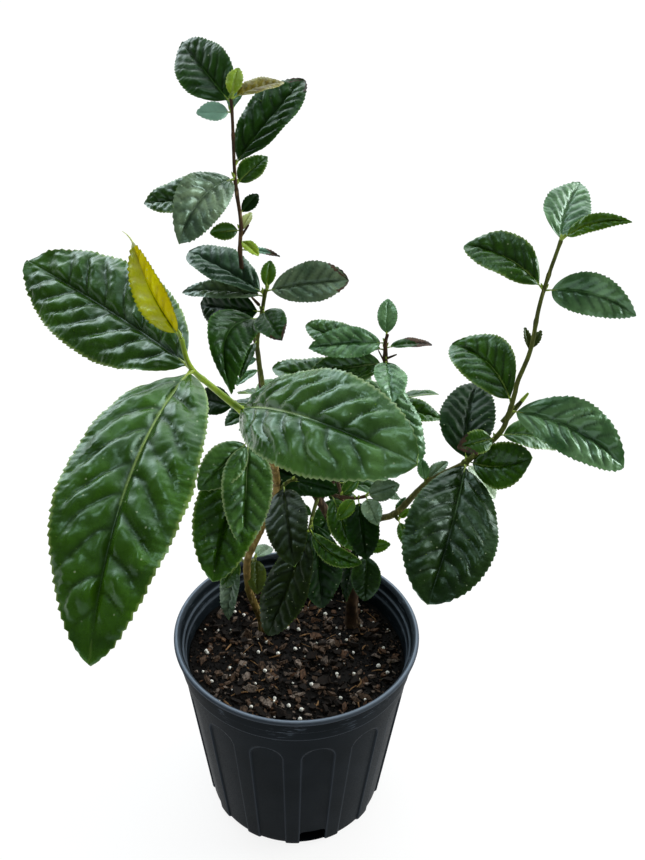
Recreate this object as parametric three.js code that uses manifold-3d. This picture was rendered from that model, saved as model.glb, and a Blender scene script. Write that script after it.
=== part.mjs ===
// Young tea plant in a fluted nursery pot: pot, potting mix, woody stems and leafy shoots.
// Millimetres, +Z up. The origin is the middle of the pot's flat underside.
// The plant leans towards -Y and its long side branch grows towards +X.
import * as THREE from 'three';
import { mergeVertices } from 'three/addons/utils/BufferGeometryUtils.js';
import Module from 'manifold-3d';

const wasm = await Module();
wasm.setup();

// Gap that touching pieces keep, and how near two points are to be one
const GAP = 0.3;
const WELD = 1e-4;

// Pot: lip, straight collar, small ledge, then a tapered wall with arched flutes
const POT_HEIGHT = 145;
const RIM_RADIUS = 82.5;
const LIP_HEIGHT = 3;
const LIP_EDGE = 1;
const COLLAR_RADIUS = 80.4;
const COLLAR_FOOT_Z = 134;
const LEDGE_FOOT_Z = 125;
const WALL_TOP_RADIUS = 77.6;
const FOOT_RADIUS = 63;
const FOOT_ROUND = 1.5;
const RIM_WALL = 3.4;
const WALL = 3;
const FLOOR = 3;
const INNER_STEP = 1.4;
const INNER_STEP_Z = 137;
const INNER_LEDGE_Z = 136;
const INNER_WALL_TOP_Z = 128;
const POT_SEGMENTS = 42;
const ARCH_SEGMENTS = 4;
const FLUTES = 14;
const FLUTE_TURN = -90 + 180 / FLUTES;
const FLUTE_WIDTH_TOP = 22;
const FLUTE_WIDTH_FOOT = 19;
const FLUTE_TOP_Z = 113;
const FLUTE_DEPTH = 1.7;
const DRAIN_WIDTH = 18.5;
const DRAIN_HEIGHT = 14;
const DRAIN_CROWN = 4.5;
const DRAIN_DEPTH = 7.5;
const DRAINED_FLUTES = [0, 3, 7, 10];
const POT_COLOUR = 0x1d2228;
const POT_ROUGHNESS = 0.45;

// How far a cutter stands out of the pot's wall, and below its foot
const CUTTER_OUTWARD = 6;
const CUTTER_BELOW = 2;

// Potting mix, level with the foot of the stems
const SOIL_TOP_Z = 122;
const SOIL_COLOUR = 0x2a1c14;
const SOIL_ROUGHNESS = 0.95;

// Block of ground that the stems are trimmed against
const GROUND_SIDE = 200;
const GROUND_DEPTH = 60;

// Limbs: centre line, then the radius at the foot and at the tip, and the flare of the foot
const LIMBS = {
  main_trunk: {
    path: [[39, 30, 112], [38, 29, 132], [37, 28, 159], [31, 22, 199]],
    radius: [4.2, 3.4], flare: 4.5, sides: 10, rings: 11, colour: 0x3b2c20,
  },
  left_stem: {
    path: [[-24, 21, 112], [-26, 19, 134], [-33, 14, 164], [-33, 8, 195], [-25, 2, 221], [-13, -16, 265],
      [-13, -46, 310], [-23, -92, 365]],
    radius: [3.1, 1.9], flare: 1.8, sides: 8, rings: 22, colour: 0x7a6136,
  },
  top_bough: {
    path: [[31, 22, 199], [13, 16, 239], [-2, 12, 270], [-22, 6, 327]],
    radius: [3.1, 1.8], flare: 0, sides: 8, rings: 12, colour: 0x4a3a24,
  },
  right_bough: {
    path: [[31, 22, 199], [46, 12, 226], [60, -2, 243], [75, -20, 278], [92, -38, 304]],
    radius: [2.6, 1.9], flare: 0, sides: 8, rings: 12, colour: 0x565026,
  },
  back_bough: {
    path: [[13, 16, 239], [33, 26, 270], [49, 30, 305], [51, 31, 327]],
    radius: [2.1, 1.5], flare: 0, sides: 8, rings: 9, colour: 0x4a3a24,
  },
};
const FLARE_HEIGHT = 9;
const BARK_ROUGHNESS = 0.8;

// Leaf form: stalk, blade outline, fold along the midrib and arch from root to tip
const STALK_LENGTH = 5;
const STALK_SHARE = 0.2;
const STALK_HALF_WIDTH = 0.9;
const TIP_HALF_WIDTH = 0.4;
const BLADE_POWER = 1.4;
const BROADEST = 0.46;
const LEAF_FOLD = 14;
const LEAF_ARCH = 0.06;
const THICKNESS_SHARE = 0.012;
const LEAST_THICKNESS = 0.8;
const LARGE_LEAF = 60;
const SMALL_LEAF = 36;
const LARGE_LEAF_STEPS = 7;
const MIDDLE_LEAF_STEPS = 4;
const SMALL_LEAF_STEPS = 3;
const LEAF_COLOUR = 0x2f5a2c;
const LEAF_ROUGHNESS = 0.4;

// Shoot stems: sides, and rings for each point of the path
const SHOOT_SIDES = 5;
const RINGS_PER_POINT = 2;

// Shoots: centre line of the stem, its radius at the foot and at the tip, and its leaves.
// A leaf is [place on the stem 0..1, turn about Z, rise, length, width, roll, bend to its left, where it
// is broadest, arch, fold]; angles are in degrees, and bend, broadest and arch are shares of its length.
// The last four may be left out.
const SHOOTS = {
  foliage_front: {
    path: [[-23, -92, 365], [-32, -120, 392], [-38, -140, 412], [-40, -146, 427]],
    radius: [1.8, 1.2],
    leaves: [
      [0.67, 136, 5, 120, 47, -34, -0.02, 0.52, -0.04, 2],
      [0.64, -101, -25, 121, 48, 2, -0.02, 0.48, 0.12, 3],
      [0.02, -46, 12, 108, 47, 37, -0.01, 0.58, 0.16, 0],
      [1, 130, 42, 43, 13, -47, 0.06, 0.4, -0.02, 30],
      [0.06, 144, -8, 26, 14, -50],
    ],
  },
  foliage_top: {
    path: [[-22, 6, 327], [-24, 3, 353], [-29, 0, 378], [-31, -5, 410], [-30, -8, 428], [-32, -10, 449],
      [-32, -15, 479], [-32, -18, 489]],
    radius: [1.8, 0.9],
    leaves: [
      [0.96, 126, 25, 50, 26, -40, 0.01, 0.4],
      [0.89, -158, 2, 17, 9, -60],
      [0.89, 79, 33, 19, 9, -15],
      [1, 76, 48, 16, 8, 10],
      [1, 37, 9, 30, 11, 20],
      [0.75, 40, 40, 56, 27, 17, -0.01, 0.52, 0.05],
      [0.7, 42, 29, 23, 12, 37, 0.01, 0.4, 0.05],
      [0.6, 41, 34, 14, 7, 50],
      [0.72, -117, -21, 52, 24, -38, -0.1, 0.51, 0.09],
      [0.72, 176, -17, 49, 23, -31, 0.13, 0.45, 0.05],
      [0.53, -162, -1, 16, 9, -65],
      [0.52, 56, 42, 12, 6, 10],
      [0.48, -32, -27, 13, 7, 20],
      [0.44, -4, -7, 21, 5, 20],
    ],
  },
  foliage_middle: {
    path: [[-21, 3, 328], [-23, -6, 358], [-20, -11, 377], [-18, -14, 390], [-17, -15, 394]],
    radius: [1.3, 1],
    leaves: [
      [0.79, 148, 14, 52, 26, -14, 0.03, 0.53],
      [0.94, -7, 12, 44, 22, 50, 0, 0.54],
      [1, 82, 49, 16, 8, 10],
      [0.55, 145, -10, 45, 23, -65],
      [0.48, -106, -27, 50, 25, -38, -0.3, 0.41, 0.13],
      [0.57, -67, -8, 30, 17, 25],
      [0.75, 170, -3, 45, 16, -20],
      [0.29, -113, -36, 25, 10, 20],
      [0.1, -141, -19, 17, 8, 0],
      [0.16, 180, -20, 12, 6, -40],
    ],
  },
  foliage_back: {
    path: [[51, 31, 327], [50, 31, 343], [51, 31, 349]],
    radius: [1.5, 1],
    leaves: [
      [0.52, -170, -1, 46, 20, -41, 0, 0.45],
      [0.35, 153, 4, 54, 19, -31, 0.05, 0.54, 0.03],
      [0.77, 88, 49, 24, 12, 0],
      [0.39, 12, 0, 29, 10, 10],
      [0.15, -86, -14, 37, 20, -10],
      [0.04, -65, -40, 62, 24, -13, -0.1, 0.57, 0.05],
      [0.04, 172, -7, 70, 26, -14, 0.15, 0.55, 0.03],
      [0.1, -175, -8, 46, 21, -60],
    ],
  },
  foliage_right: {
    path: [[92, -38, 304], [105, -52, 331], [108, -56, 345], [109, -60, 362]],
    radius: [1.9, 1.5],
    leaves: [
      [0.02, -108, -24, 87, 48, -14, 0.01, 0.57, 0.07],
      [0.02, -53, -24, 26, 12, 0],
      [0.04, -32, 23, 38, 25, 61, -0.1, 0.54],
      [0.02, 78, 20, 61, 31, -2, 0.04, 0.4, 0.07],
      [0.31, -155, -2, 23, 13, -45],
      [0.34, 18, -20, 41, 17, 36, 0.05, 0.42, 0.09],
      [0.75, -18, -19, 63, 30, 44, 0.08, 0.49],
      [0.83, 124, 16, 50, 28, -37, -0.12, 0.51],
    ],
  },
  foliage_right_tip: {
    path: [[109, -60, 362], [109, -62, 369], [112, -65, 387], [112, -70, 415], [115, -76, 445]],
    radius: [1.5, 1],
    leaves: [
      [0.79, 152, 19, 42, 23, -35, -0.11, 0.52, 0.04],
      [0.79, -15, -9, 42, 19, 72, 0.1, 0.4],
      [0.99, 68, 23, 42, 21, 14, 0.05, 0.4, 0.02],
      [1, -22, 24, 30, 8, 54, 0.09, 0.4, 0.09],
      [0.49, 110, 52, 12, 4, -5],
      [0.5, 48, 45, 11, 4, 25],
    ],
  },
  foliage_low_left: {
    path: [[-17, -60, 327], [-19, -71, 336], [-22, -80, 342]],
    radius: [1.2, 0.9],
    leaves: [
      [0.2, -107, -32, 75, 33, -16, -0.04, 0.52, 0.07, 14],
      [1, -90, -49, 54, 25, -14, -0.01, 0.38, 0.05, 13],
      [0.95, -135, -24, 35, 19, -40],
    ],
  },
  foliage_low_middle: {
    path: [[-12, -18, 268], [-5, -24, 280], [0, -26, 283]],
    radius: [1.2, 0.9],
    leaves: [
      [0.3, -81, -17, 56, 25, 22, 0.01, 0.49, 0.08, 7],
      [0.7, -19, -2, 28, 13, 50],
    ],
  },
  foliage_low_centre: {
    path: [[12, 14, 242], [9, 2, 237], [7, -6, 230]],
    radius: [1.3, 0.9],
    leaves: [
      [1, -122, -49, 68, 31, 2, 0.03, 0.53, 0.05, 4],
      [0.87, -34, -14, 40, 13, 46, -0.13, 0.53],
      [0.62, -70, -66, 58, 29, -5],
      [0.52, 156, 34, 12, 6, -45],
    ],
  },
  foliage_low_right: {
    path: [[6, 13, 255], [20, -4, 258], [33, -12, 261], [41, -14, 264]],
    radius: [1.3, 0.9],
    leaves: [
      [0.35, -58, -46, 36, 18, 25],
      [0.79, -78, -46, 37, 20, 10],
      [0.73, -130, -22, 18, 9, -30],
      [0.47, 38, 32, 16, 8, 35],
      [0.99, -7, 29, 22, 13, 55],
      [0.99, -72, -16, 22, 12, 15],
      [0.25, 174, 25, 42, 21, -55],
    ],
  },
  foliage_low_front: {
    path: [[38, 17, 212], [41, 5, 212], [44, 0, 211]],
    radius: [1.2, 0.9],
    leaves: [
      [1, -91, -49, 31, 19, 0],
      [0.35, -115, -62, 40, 14, 30],
      [0.71, -11, 21, 18, 9, 50],
    ],
  },
  foliage_foot_left: {
    path: [[-34, 9, 192], [-37, 15, 189], [-40, 22, 186]],
    radius: [1.1, 0.9],
    leaves: [
      [1, -110, -63, 44, 17, 20],
      [0.7, -159, -57, 25, 12, -50],
    ],
  },
  foliage_foot_right: {
    path: [[-31, 8, 194], [-30, 17, 188], [-29, 25, 185]],
    radius: [1.1, 0.9],
    leaves: [
      [1, -84, -39, 26, 13, 0],
      [0.7, 62, -12, 22, 11, 10],
    ],
  },
  foliage_branch: {
    path: [[75, -20, 278], [74, -22, 282]],
    radius: [1.1, 0.8],
    leaves: [
      [0.43, 110, 52, 14, 7, -20],
      [0.38, 35, 30, 18, 9, 5],
    ],
  },
  foliage_bend: {
    path: [[60, -2, 243], [61, -5, 242], [62, -7, 242]],
    radius: [1.1, 0.8],
    leaves: [
      [1, -60, -44, 18, 8, 25],
      [0.7, 27, 29, 10, 5, 40],
      [0.5, 58, 44, 14, 7, -25],
    ],
  },
  foliage_rear_left: {
    path: [[-5, 12, 276], [-8, 40, 284], [-15, 66, 282], [-20, 86, 272]],
    radius: [1.6, 0.9],
    spiral: { seed: 2, count: 6, first: 0.25, turn: 160, rise: -12, length: 44, twigs: 2 },
  },
  foliage_rear_right: {
    path: [[33, 26, 270], [44, 55, 278], [52, 82, 273], [56, 104, 260]],
    radius: [1.6, 0.9],
    spiral: { seed: 8, count: 6, first: 0.25, turn: 80, rise: -12, length: 44, twigs: 2 },
  },
  foliage_rear_low: {
    path: [[33, 24, 192], [30, 48, 210], [24, 76, 218], [16, 100, 214]],
    radius: [1.6, 0.9],
    spiral: { seed: 7, count: 6, first: 0.3, turn: 90, rise: -18, length: 42, twigs: 1 },
  },
};
// Turn from one leaf of a spiral to the next, and how far its leaves stray from the rule
const LEAF_SPIRAL = 137.5;
const TURN_STRAY = 24;
const RISE_STRAY = 26;
const SIZE_STRAY = 0.4;
const ROLL_STRAY = 36;
const WIDTH_SHARE = 0.45;

// Side twigs of a ruled shoot: where they leave it, their own size and lift, and their leaves
const TWIG_FIRST = 0.4;
const TWIG_STEP = 0.3;
const TWIG_LENGTH = 26;
const TWIG_RADIUS = [1, 0.8];
const TWIG_RISE = 25;
const TWIG_BEND = 4;
const TWIG_LEAVES = { count: 3, first: 0.45, rise: 5, length: 30 };

// Ruled twigs and leaves stay inside this radius and above this level
const CROWN_RADIUS = 150;
const CROWN_FOOT_Z = 152;
const TOUCH_VOLUME = 0.001;

// Turns a three.js geometry into a solid for joining and cutting
function solidOf(geometry) {
  geometry.deleteAttribute('normal');
  geometry.deleteAttribute('uv');
  const merged = mergeVertices(geometry, WELD);
  return new wasm.Manifold(new wasm.Mesh({
    numProp: 3,
    vertProperties: new Float32Array(merged.attributes.position.array),
    triVerts: new Uint32Array(merged.index.array),
  }));
}

// Turns a solid back into a geometry for a mesh
function geometryOf(solid) {
  const mesh = solid.getMesh();
  const geometry = new THREE.BufferGeometry();
  geometry.setAttribute('position', new THREE.BufferAttribute(new Float32Array(mesh.vertProperties), 3));
  geometry.setIndex(new THREE.BufferAttribute(new Uint32Array(mesh.triVerts), 1));
  geometry.computeVertexNormals();
  return geometry;
}

// A closed skin over a row of equal rings of points, with a flat face on each end
function skin(rings) {
  const count = rings[0].length;
  const positions = [];
  const index = [];
  for (const ring of rings) {
    for (const p of ring) positions.push(p.x, p.y, p.z);
  }
  for (let i = 0; i + 1 < rings.length; i++) {
    for (let j = 0; j < count; j++) {
      const a = i * count + j;
      const b = i * count + (j + 1) % count;
      index.push(a, b, b + count, a, b + count, a + count);
    }
  }
  const last = (rings.length - 1) * count;
  for (let j = 1; j + 1 < count; j++) {
    index.push(0, j + 1, j);
    index.push(last, last + j, last + j + 1);
  }
  const geometry = new THREE.BufferGeometry();
  geometry.setAttribute('position', new THREE.Float32BufferAttribute(positions, 3));
  geometry.setIndex(index);
  return solidOf(geometry);
}

// Smooth centre line through the points of a path
function centreLine(path) {
  const points = path.map((p) => new THREE.Vector3(...p));
  return new THREE.CatmullRomCurve3(points, false, 'catmullrom', 0.5);
}

// A tapering round limb along a centre line; grow makes it fatter and longer by that much
function limbSolid({ path, radius, flare = 0, sides, rings }, grow = 0) {
  const curve = centreLine(path);
  const frames = curve.computeFrenetFrames(rings, false);
  const length = curve.getLength();
  const skinRings = [];
  for (let i = 0; i <= rings; i++) {
    const share = i / rings;
    const centre = curve.getPointAt(share);
    if (i === 0) centre.addScaledVector(frames.tangents[0], -grow);
    if (i === rings) centre.addScaledVector(frames.tangents[rings], grow);
    const spread = flare * Math.exp(-share * length / FLARE_HEIGHT);
    const r = THREE.MathUtils.lerp(radius[0], radius[1], share) + spread + grow;
    const ring = [];
    for (let j = 0; j < sides; j++) {
      const angle = 2 * Math.PI * j / sides;
      ring.push(centre.clone()
        .addScaledVector(frames.normals[i], r * Math.cos(angle))
        .addScaledVector(frames.binormals[i], r * Math.sin(angle)));
    }
    skinRings.push(ring);
  }
  return skin(skinRings);
}

// Axes of a leaf: along it, to its left, and out of its upper face
function leafAxes(turn, rise, roll) {
  const a = THREE.MathUtils.degToRad(turn);
  const e = THREE.MathUtils.degToRad(rise);
  const r = THREE.MathUtils.degToRad(roll);
  const along = new THREE.Vector3(Math.cos(e) * Math.cos(a), Math.cos(e) * Math.sin(a), Math.sin(e));
  const level = new THREE.Vector3(-Math.sin(a), Math.cos(a), 0);
  const up = new THREE.Vector3().crossVectors(along, level);
  const left = level.clone().multiplyScalar(Math.cos(r)).addScaledVector(up, Math.sin(r));
  return { along, left, up: new THREE.Vector3().crossVectors(along, left) };
}

// One leaf: a stalk and a pointed oval blade, folded along its midrib, with blunt edges
function leafSolid(root, [, turn, rise, length, width, roll, bend = 0, broadest = BROADEST,
  archShare = LEAF_ARCH, fold = LEAF_FOLD]) {
  const { along, left, up } = leafAxes(turn, rise, roll);
  const smaller = length > SMALL_LEAF ? MIDDLE_LEAF_STEPS : SMALL_LEAF_STEPS;
  const steps = length > LARGE_LEAF ? LARGE_LEAF_STEPS : smaller;
  const thickness = Math.max(LEAST_THICKNESS, THICKNESS_SHARE * length);
  const stalk = Math.min(STALK_LENGTH, STALK_SHARE * length) / length;
  const outline = (b) => (b ** broadest * (1 - b) ** (1 - broadest)) ** BLADE_POWER;
  const lift = Math.tan(THREE.MathUtils.degToRad(fold));
  const stations = [{ at: 0, half: STALK_HALF_WIDTH }, { at: stalk, half: STALK_HALF_WIDTH }];
  for (let k = 1; k <= steps; k++) {
    const b = k / steps;
    const half = 0.5 * width * outline(b) / outline(broadest);
    stations.push({ at: stalk + (1 - stalk) * b, half: Math.max(TIP_HALF_WIDTH, half) });
  }
  const rings = stations.map(({ at, half }) => {
    const swell = 4 * length * at * (1 - at);
    const point = (y, z) => root.clone()
      .addScaledVector(along, at * length)
      .addScaledVector(left, bend * swell + y)
      .addScaledVector(up, archShare * swell + z);
    const t = thickness / 2;
    const edge = half * lift;
    return [point(half, edge + t), point(half, edge - t), point(0, -t),
      point(-half, edge - t), point(-half, edge + t), point(0, t)];
  });
  return skin(rings.map((ring) => ring.reverse()));
}

// A repeatable number from 0 to 1 for a seed and a count
function chance(seed, k) {
  const x = Math.sin(seed * 12.9898 + k * 78.233) * 43758.5453;
  return x - Math.floor(x);
}

// Leaves set along a stem by rule, each turned on from the last by the leaf spiral
function spiralLeaves({ seed, count, first, turn, rise, length }) {
  const rows = [];
  for (let k = 0; k < count; k++) {
    const stray = (n) => chance(seed, 4 * k + n) - 0.5;
    const size = length * (1 + SIZE_STRAY * stray(0));
    rows.push([
      first + (1 - first) * k / (count - 1),
      turn + LEAF_SPIRAL * k + TURN_STRAY * stray(1),
      rise + RISE_STRAY * stray(2),
      size,
      WIDTH_SHARE * size,
      ROLL_STRAY * stray(3),
    ]);
  }
  return rows;
}

// Path of a side twig that leaves a ruled shoot between two leaves and bends up towards its tip
function sideTwigPath(curve, { seed, turn }, k) {
  const stray = chance(seed, -1 - k) - 0.5;
  const around = turn + LEAF_SPIRAL * (k + 0.5) + TURN_STRAY * stray;
  const { along } = leafAxes(around, TWIG_RISE, 0);
  const root = curve.getPoint(TWIG_FIRST + TWIG_STEP * k);
  return [0, 0.5, 1].map((share) => root.clone()
    .addScaledVector(along, share * TWIG_LENGTH)
    .add(new THREE.Vector3(0, 0, TWIG_BEND * share * share))
    .toArray());
}

// True if a ruled twig or leaf stays in the crown and clear of all the other pieces
function fits(solid, others) {
  const { min, max } = solid.boundingBox();
  const reachX = Math.max(-min[0], max[0]);
  const reachY = Math.max(-min[1], max[1]);
  if (min[2] < CROWN_FOOT_Z || Math.hypot(reachX, reachY) > CROWN_RADIUS) return false;
  return others.every((other) => solid.intersect(other).volume() < TOUCH_VOLUME);
}

// Leaves and side twigs of a ruled shoot; one that doesn't fit is skipped
function ruledGrowth(curve, spiral, others) {
  const kept = spiralLeaves(spiral)
    .map((leaf) => leafSolid(curve.getPoint(leaf[0]), leaf))
    .filter((leaf) => fits(leaf, others));
  for (let k = 0; k < spiral.twigs; k++) {
    const path = sideTwigPath(curve, spiral, k);
    const twig = limbSolid({ path, radius: TWIG_RADIUS, sides: SHOOT_SIDES, rings: path.length });
    if (!fits(twig, others)) continue;
    const line = centreLine(path);
    const turn = spiral.turn + LEAF_SPIRAL * k;
    const leaves = spiralLeaves({ ...TWIG_LEAVES, seed: spiral.seed + k + 1, turn })
      .map((leaf) => leafSolid(line.getPoint(leaf[0]), leaf))
      .filter((leaf) => fits(leaf, others));
    kept.push(twig, ...leaves);
  }
  return kept;
}

// The largest single body of a solid; loose scraps are dropped
function mainBody(solid) {
  return solid.decompose().reduce((a, b) => (b.volume() > a.volume() ? b : a));
}

// A pot built from one closed profile turned about Z, with flutes and drain holes cut in
function potSolid() {
  const outer = [
    [0, 0], [FOOT_RADIUS - FOOT_ROUND, 0], [FOOT_RADIUS, FOOT_ROUND], [WALL_TOP_RADIUS, LEDGE_FOOT_Z],
    [COLLAR_RADIUS, COLLAR_FOOT_Z], [COLLAR_RADIUS, POT_HEIGHT - LIP_HEIGHT],
    [RIM_RADIUS, POT_HEIGHT - LIP_HEIGHT], [RIM_RADIUS, POT_HEIGHT - LIP_EDGE],
    [RIM_RADIUS - LIP_EDGE, POT_HEIGHT],
  ];
  const inner = [
    [RIM_RADIUS - RIM_WALL, POT_HEIGHT], [COLLAR_RADIUS - WALL, INNER_STEP_Z],
    [COLLAR_RADIUS - WALL - INNER_STEP, INNER_LEDGE_Z], [WALL_TOP_RADIUS - WALL, INNER_WALL_TOP_Z],
    [FOOT_RADIUS - WALL, FLOOR], [0, FLOOR],
  ];
  const profile = [...outer, ...inner].map(([r, z]) => new THREE.Vector2(r, z));
  const turned = new THREE.LatheGeometry(profile, POT_SEGMENTS);
  turned.rotateX(Math.PI / 2);
  let pot = solidOf(turned);
  const slope = Math.atan((WALL_TOP_RADIUS - FOOT_RADIUS) / LEDGE_FOOT_Z);
  for (let k = 0; k < FLUTES; k++) {
    const turn = THREE.MathUtils.degToRad(FLUTE_TURN + k * 360 / FLUTES);
    const flute = [FLUTE_WIDTH_FOOT, FLUTE_WIDTH_TOP, FLUTE_TOP_Z, FLUTE_WIDTH_TOP / 2, FLUTE_DEPTH];
    pot = pot.subtract(archCutter(...flute, slope, turn));
    if (DRAINED_FLUTES.includes(k)) {
      const drain = [DRAIN_WIDTH, DRAIN_WIDTH, DRAIN_HEIGHT, DRAIN_CROWN, DRAIN_DEPTH];
      pot = pot.subtract(archCutter(...drain, slope, turn));
    }
  }
  return mainBody(pot);
}

// A block with an arched top, its crown of a given height, laid on the sloping wall and sunk in to a depth
function archCutter(footWidth, topWidth, topZ, crown, depth, slope, turn) {
  const shape = new THREE.Shape();
  const spring = topZ - crown;
  shape.moveTo(-footWidth / 2, -CUTTER_BELOW);
  shape.lineTo(footWidth / 2, -CUTTER_BELOW);
  shape.lineTo(topWidth / 2, spring);
  shape.absellipse(0, spring, topWidth / 2, crown, 0, Math.PI, false, 0);
  shape.closePath();
  const block = new THREE.ExtrudeGeometry(shape, {
    depth: depth + CUTTER_OUTWARD, bevelEnabled: false, curveSegments: ARCH_SEGMENTS,
  });
  block.translate(0, 0, -depth);
  block.rotateX(Math.PI / 2 + slope);
  block.rotateZ(Math.PI);
  block.translate(0, FOOT_RADIUS, 0);
  block.rotateZ(turn - Math.PI / 2);
  return solidOf(block);
}

// Potting mix: fills the pot up to the foot of the stems
function soilSolid() {
  const bottomZ = FLOOR + GAP;
  const innerRadius = (z) => THREE.MathUtils.mapLinear(
    z, FLOOR, INNER_WALL_TOP_Z, FOOT_RADIUS - WALL, WALL_TOP_RADIUS - WALL) - GAP;
  const profile = [
    [0, bottomZ], [innerRadius(bottomZ), bottomZ], [innerRadius(SOIL_TOP_Z), SOIL_TOP_Z], [0, SOIL_TOP_Z],
  ].map(([r, z]) => new THREE.Vector2(r, z));
  const turned = new THREE.LatheGeometry(profile, POT_SEGMENTS);
  turned.rotateX(Math.PI / 2);
  return solidOf(turned);
}

// Everything below the level that the stems stand on
function groundBlock() {
  const block = new THREE.BoxGeometry(GROUND_SIDE, GROUND_SIDE, GROUND_DEPTH);
  block.translate(0, 0, SOIL_TOP_Z + GAP - GROUND_DEPTH / 2);
  return solidOf(block);
}

const plant = new THREE.Group();

function addPiece(name, solid, colour, roughness) {
  const material = new THREE.MeshStandardMaterial({ color: colour, roughness, metalness: 0 });
  const mesh = new THREE.Mesh(geometryOf(solid), material);
  mesh.name = name;
  plant.add(mesh);
}

addPiece('pot', potSolid(), POT_COLOUR, POT_ROUGHNESS);
addPiece('soil', soilSolid(), SOIL_COLOUR, SOIL_ROUGHNESS);

const blockers = [groundBlock()];
for (const [name, limb] of Object.entries(LIMBS)) {
  let solid = limbSolid(limb);
  for (const blocker of blockers) solid = solid.subtract(blocker);
  addPiece(name, mainBody(solid), limb.colour, BARK_ROUGHNESS);
  blockers.push(limbSolid(limb, GAP));
}

const masses = [];
for (const [name, shoot] of Object.entries(SHOOTS)) {
  const stem = { ...shoot, sides: SHOOT_SIDES, rings: RINGS_PER_POINT * shoot.path.length };
  const curve = centreLine(shoot.path);
  const growth = shoot.spiral
    ? ruledGrowth(curve, shoot.spiral, [...blockers, ...masses])
    : shoot.leaves.map((leaf) => leafSolid(curve.getPoint(leaf[0]), leaf));
  let solid = limbSolid(stem);
  for (const piece of growth) solid = solid.add(piece);
  for (const blocker of blockers) solid = solid.subtract(blocker);
  const mass = mainBody(solid);
  addPiece(name, mass, LEAF_COLOUR, LEAF_ROUGHNESS);
  masses.push(mass);
  blockers.push(limbSolid(stem, GAP));
}

export default plant;
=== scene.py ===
"""Looks of the potted tea bush: bark, waxy leaves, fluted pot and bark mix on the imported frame."""
import math
import bpy
import numpy as np
from mathutils import Matrix, Vector


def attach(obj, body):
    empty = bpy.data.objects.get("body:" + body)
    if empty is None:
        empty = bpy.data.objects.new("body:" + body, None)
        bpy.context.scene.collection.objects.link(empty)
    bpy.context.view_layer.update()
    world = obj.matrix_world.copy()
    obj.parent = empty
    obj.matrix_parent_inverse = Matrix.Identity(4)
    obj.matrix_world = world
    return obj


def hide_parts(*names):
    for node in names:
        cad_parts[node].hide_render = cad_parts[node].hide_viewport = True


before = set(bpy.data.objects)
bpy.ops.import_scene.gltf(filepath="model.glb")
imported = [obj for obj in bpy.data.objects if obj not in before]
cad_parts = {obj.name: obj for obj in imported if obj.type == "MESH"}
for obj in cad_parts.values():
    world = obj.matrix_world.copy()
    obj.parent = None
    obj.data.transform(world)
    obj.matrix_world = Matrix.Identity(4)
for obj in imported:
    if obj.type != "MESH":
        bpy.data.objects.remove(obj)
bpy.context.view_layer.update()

MM = 0.001

# Camera of the photograph: place in mm, then pitch, roll and focal length in image heights
CAMERA_PLACE = (14, -453, 573)
CAMERA_PITCH = 31.0
CAMERA_ROLL = 1.4
FOCAL_IN_HEIGHTS = 900 / 860

# Pot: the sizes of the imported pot, with a rolled lip and rounded flutes
POT_STEPS = 336
FOOT_RADIUS = 63
FOOT_ROUND = 1.5
LEDGE_FOOT_Z = 125
WALL_TOP_RADIUS = 77.6
WALL = 3
POT_FLOOR = 3
FLUTES = 14
FLUTE_TURN = -90 + 180 / FLUTES
FLUTE_HALF_FOOT = 9.5
FLUTE_HALF_TOP = 11
FLUTE_SPRING_Z = 102
FLUTE_DEPTH = 1.2
FLUTE_EDGE = 0.7
COLUMN_PLACES = (0, 1.5, 3.0, 4.4, 5.7, 6.8, 7.6, 8.1, 8.5, 8.95, 9.6, 11, 180 / FLUTES)
# Outline of the collar as radius and height: its steps outside, the rolled lip, its steps inside
COLLAR_OUTSIDE = [
    (77.5, 124.2), (77.75, 124.6), (78.3, 124.9), (78.55, 125.3), (78.6, 126.2), (78.75, 129), (78.9, 131.9),
    (78.95, 132.7), (79.2, 133.1), (79.9, 133.4), (80.2, 133.8), (80.25, 134.5), (80.4, 138), (80.4, 141.2)]
LIP = [
    (80.5, 141.6), (81.2, 141.8), (82.0, 142.1), (82.4, 142.6), (82.5, 143.2), (82.45, 143.9), (82.1, 144.5),
    (81.4, 144.9), (80.6, 145), (79.9, 144.9), (79.4, 144.5), (79.1, 143.9), (78.9, 143.1), (78.5, 142.6)]
COLLAR_INSIDE = [
    (78.0, 142.3), (77.7, 141.6), (77.5, 139), (77.4, 137.4), (77.1, 136.7), (76.6, 136.5), (76.1, 136.3),
    (75.95, 135.6), (75.8, 133), (75.6, 131.4), (75.2, 130.8), (74.8, 130.4), (74.6, 129.6), (74.4, 126)]
DRAIN_HALF_WIDTH = 9.2
DRAIN_HEIGHT = 14
DRAIN_ROUND = 3.6
DRAINED_FLUTES = (0, 3, 7, 10)
DRAIN_INNER = 50
DRAIN_SILL = 0.5

# Potting mix: its bed, and how many loose pieces lie on it and how large they are
SOIL_Z = 122
SOIL_RADIUS = 74.3
BED_DEPTH = 4
BED_RINGS = 36
MIX_SEED = 11
CHIPS = 1100
CHIP_LEAST = 2.4
CHIP_SPREAD = 2.8
CHIP_MOST = 12.5
CRUMBS = 6500
CRUMB_SIZES = (0.6, 2.4)
BEADS = 110
BEAD_LEAST_RADIUS = 0.45
BEAD_SPREAD = 1.15
FIBRES = 60
FIBRE_LENGTHS = (3, 12)
FIBRE_RADII = (0.2, 0.6)

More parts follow.
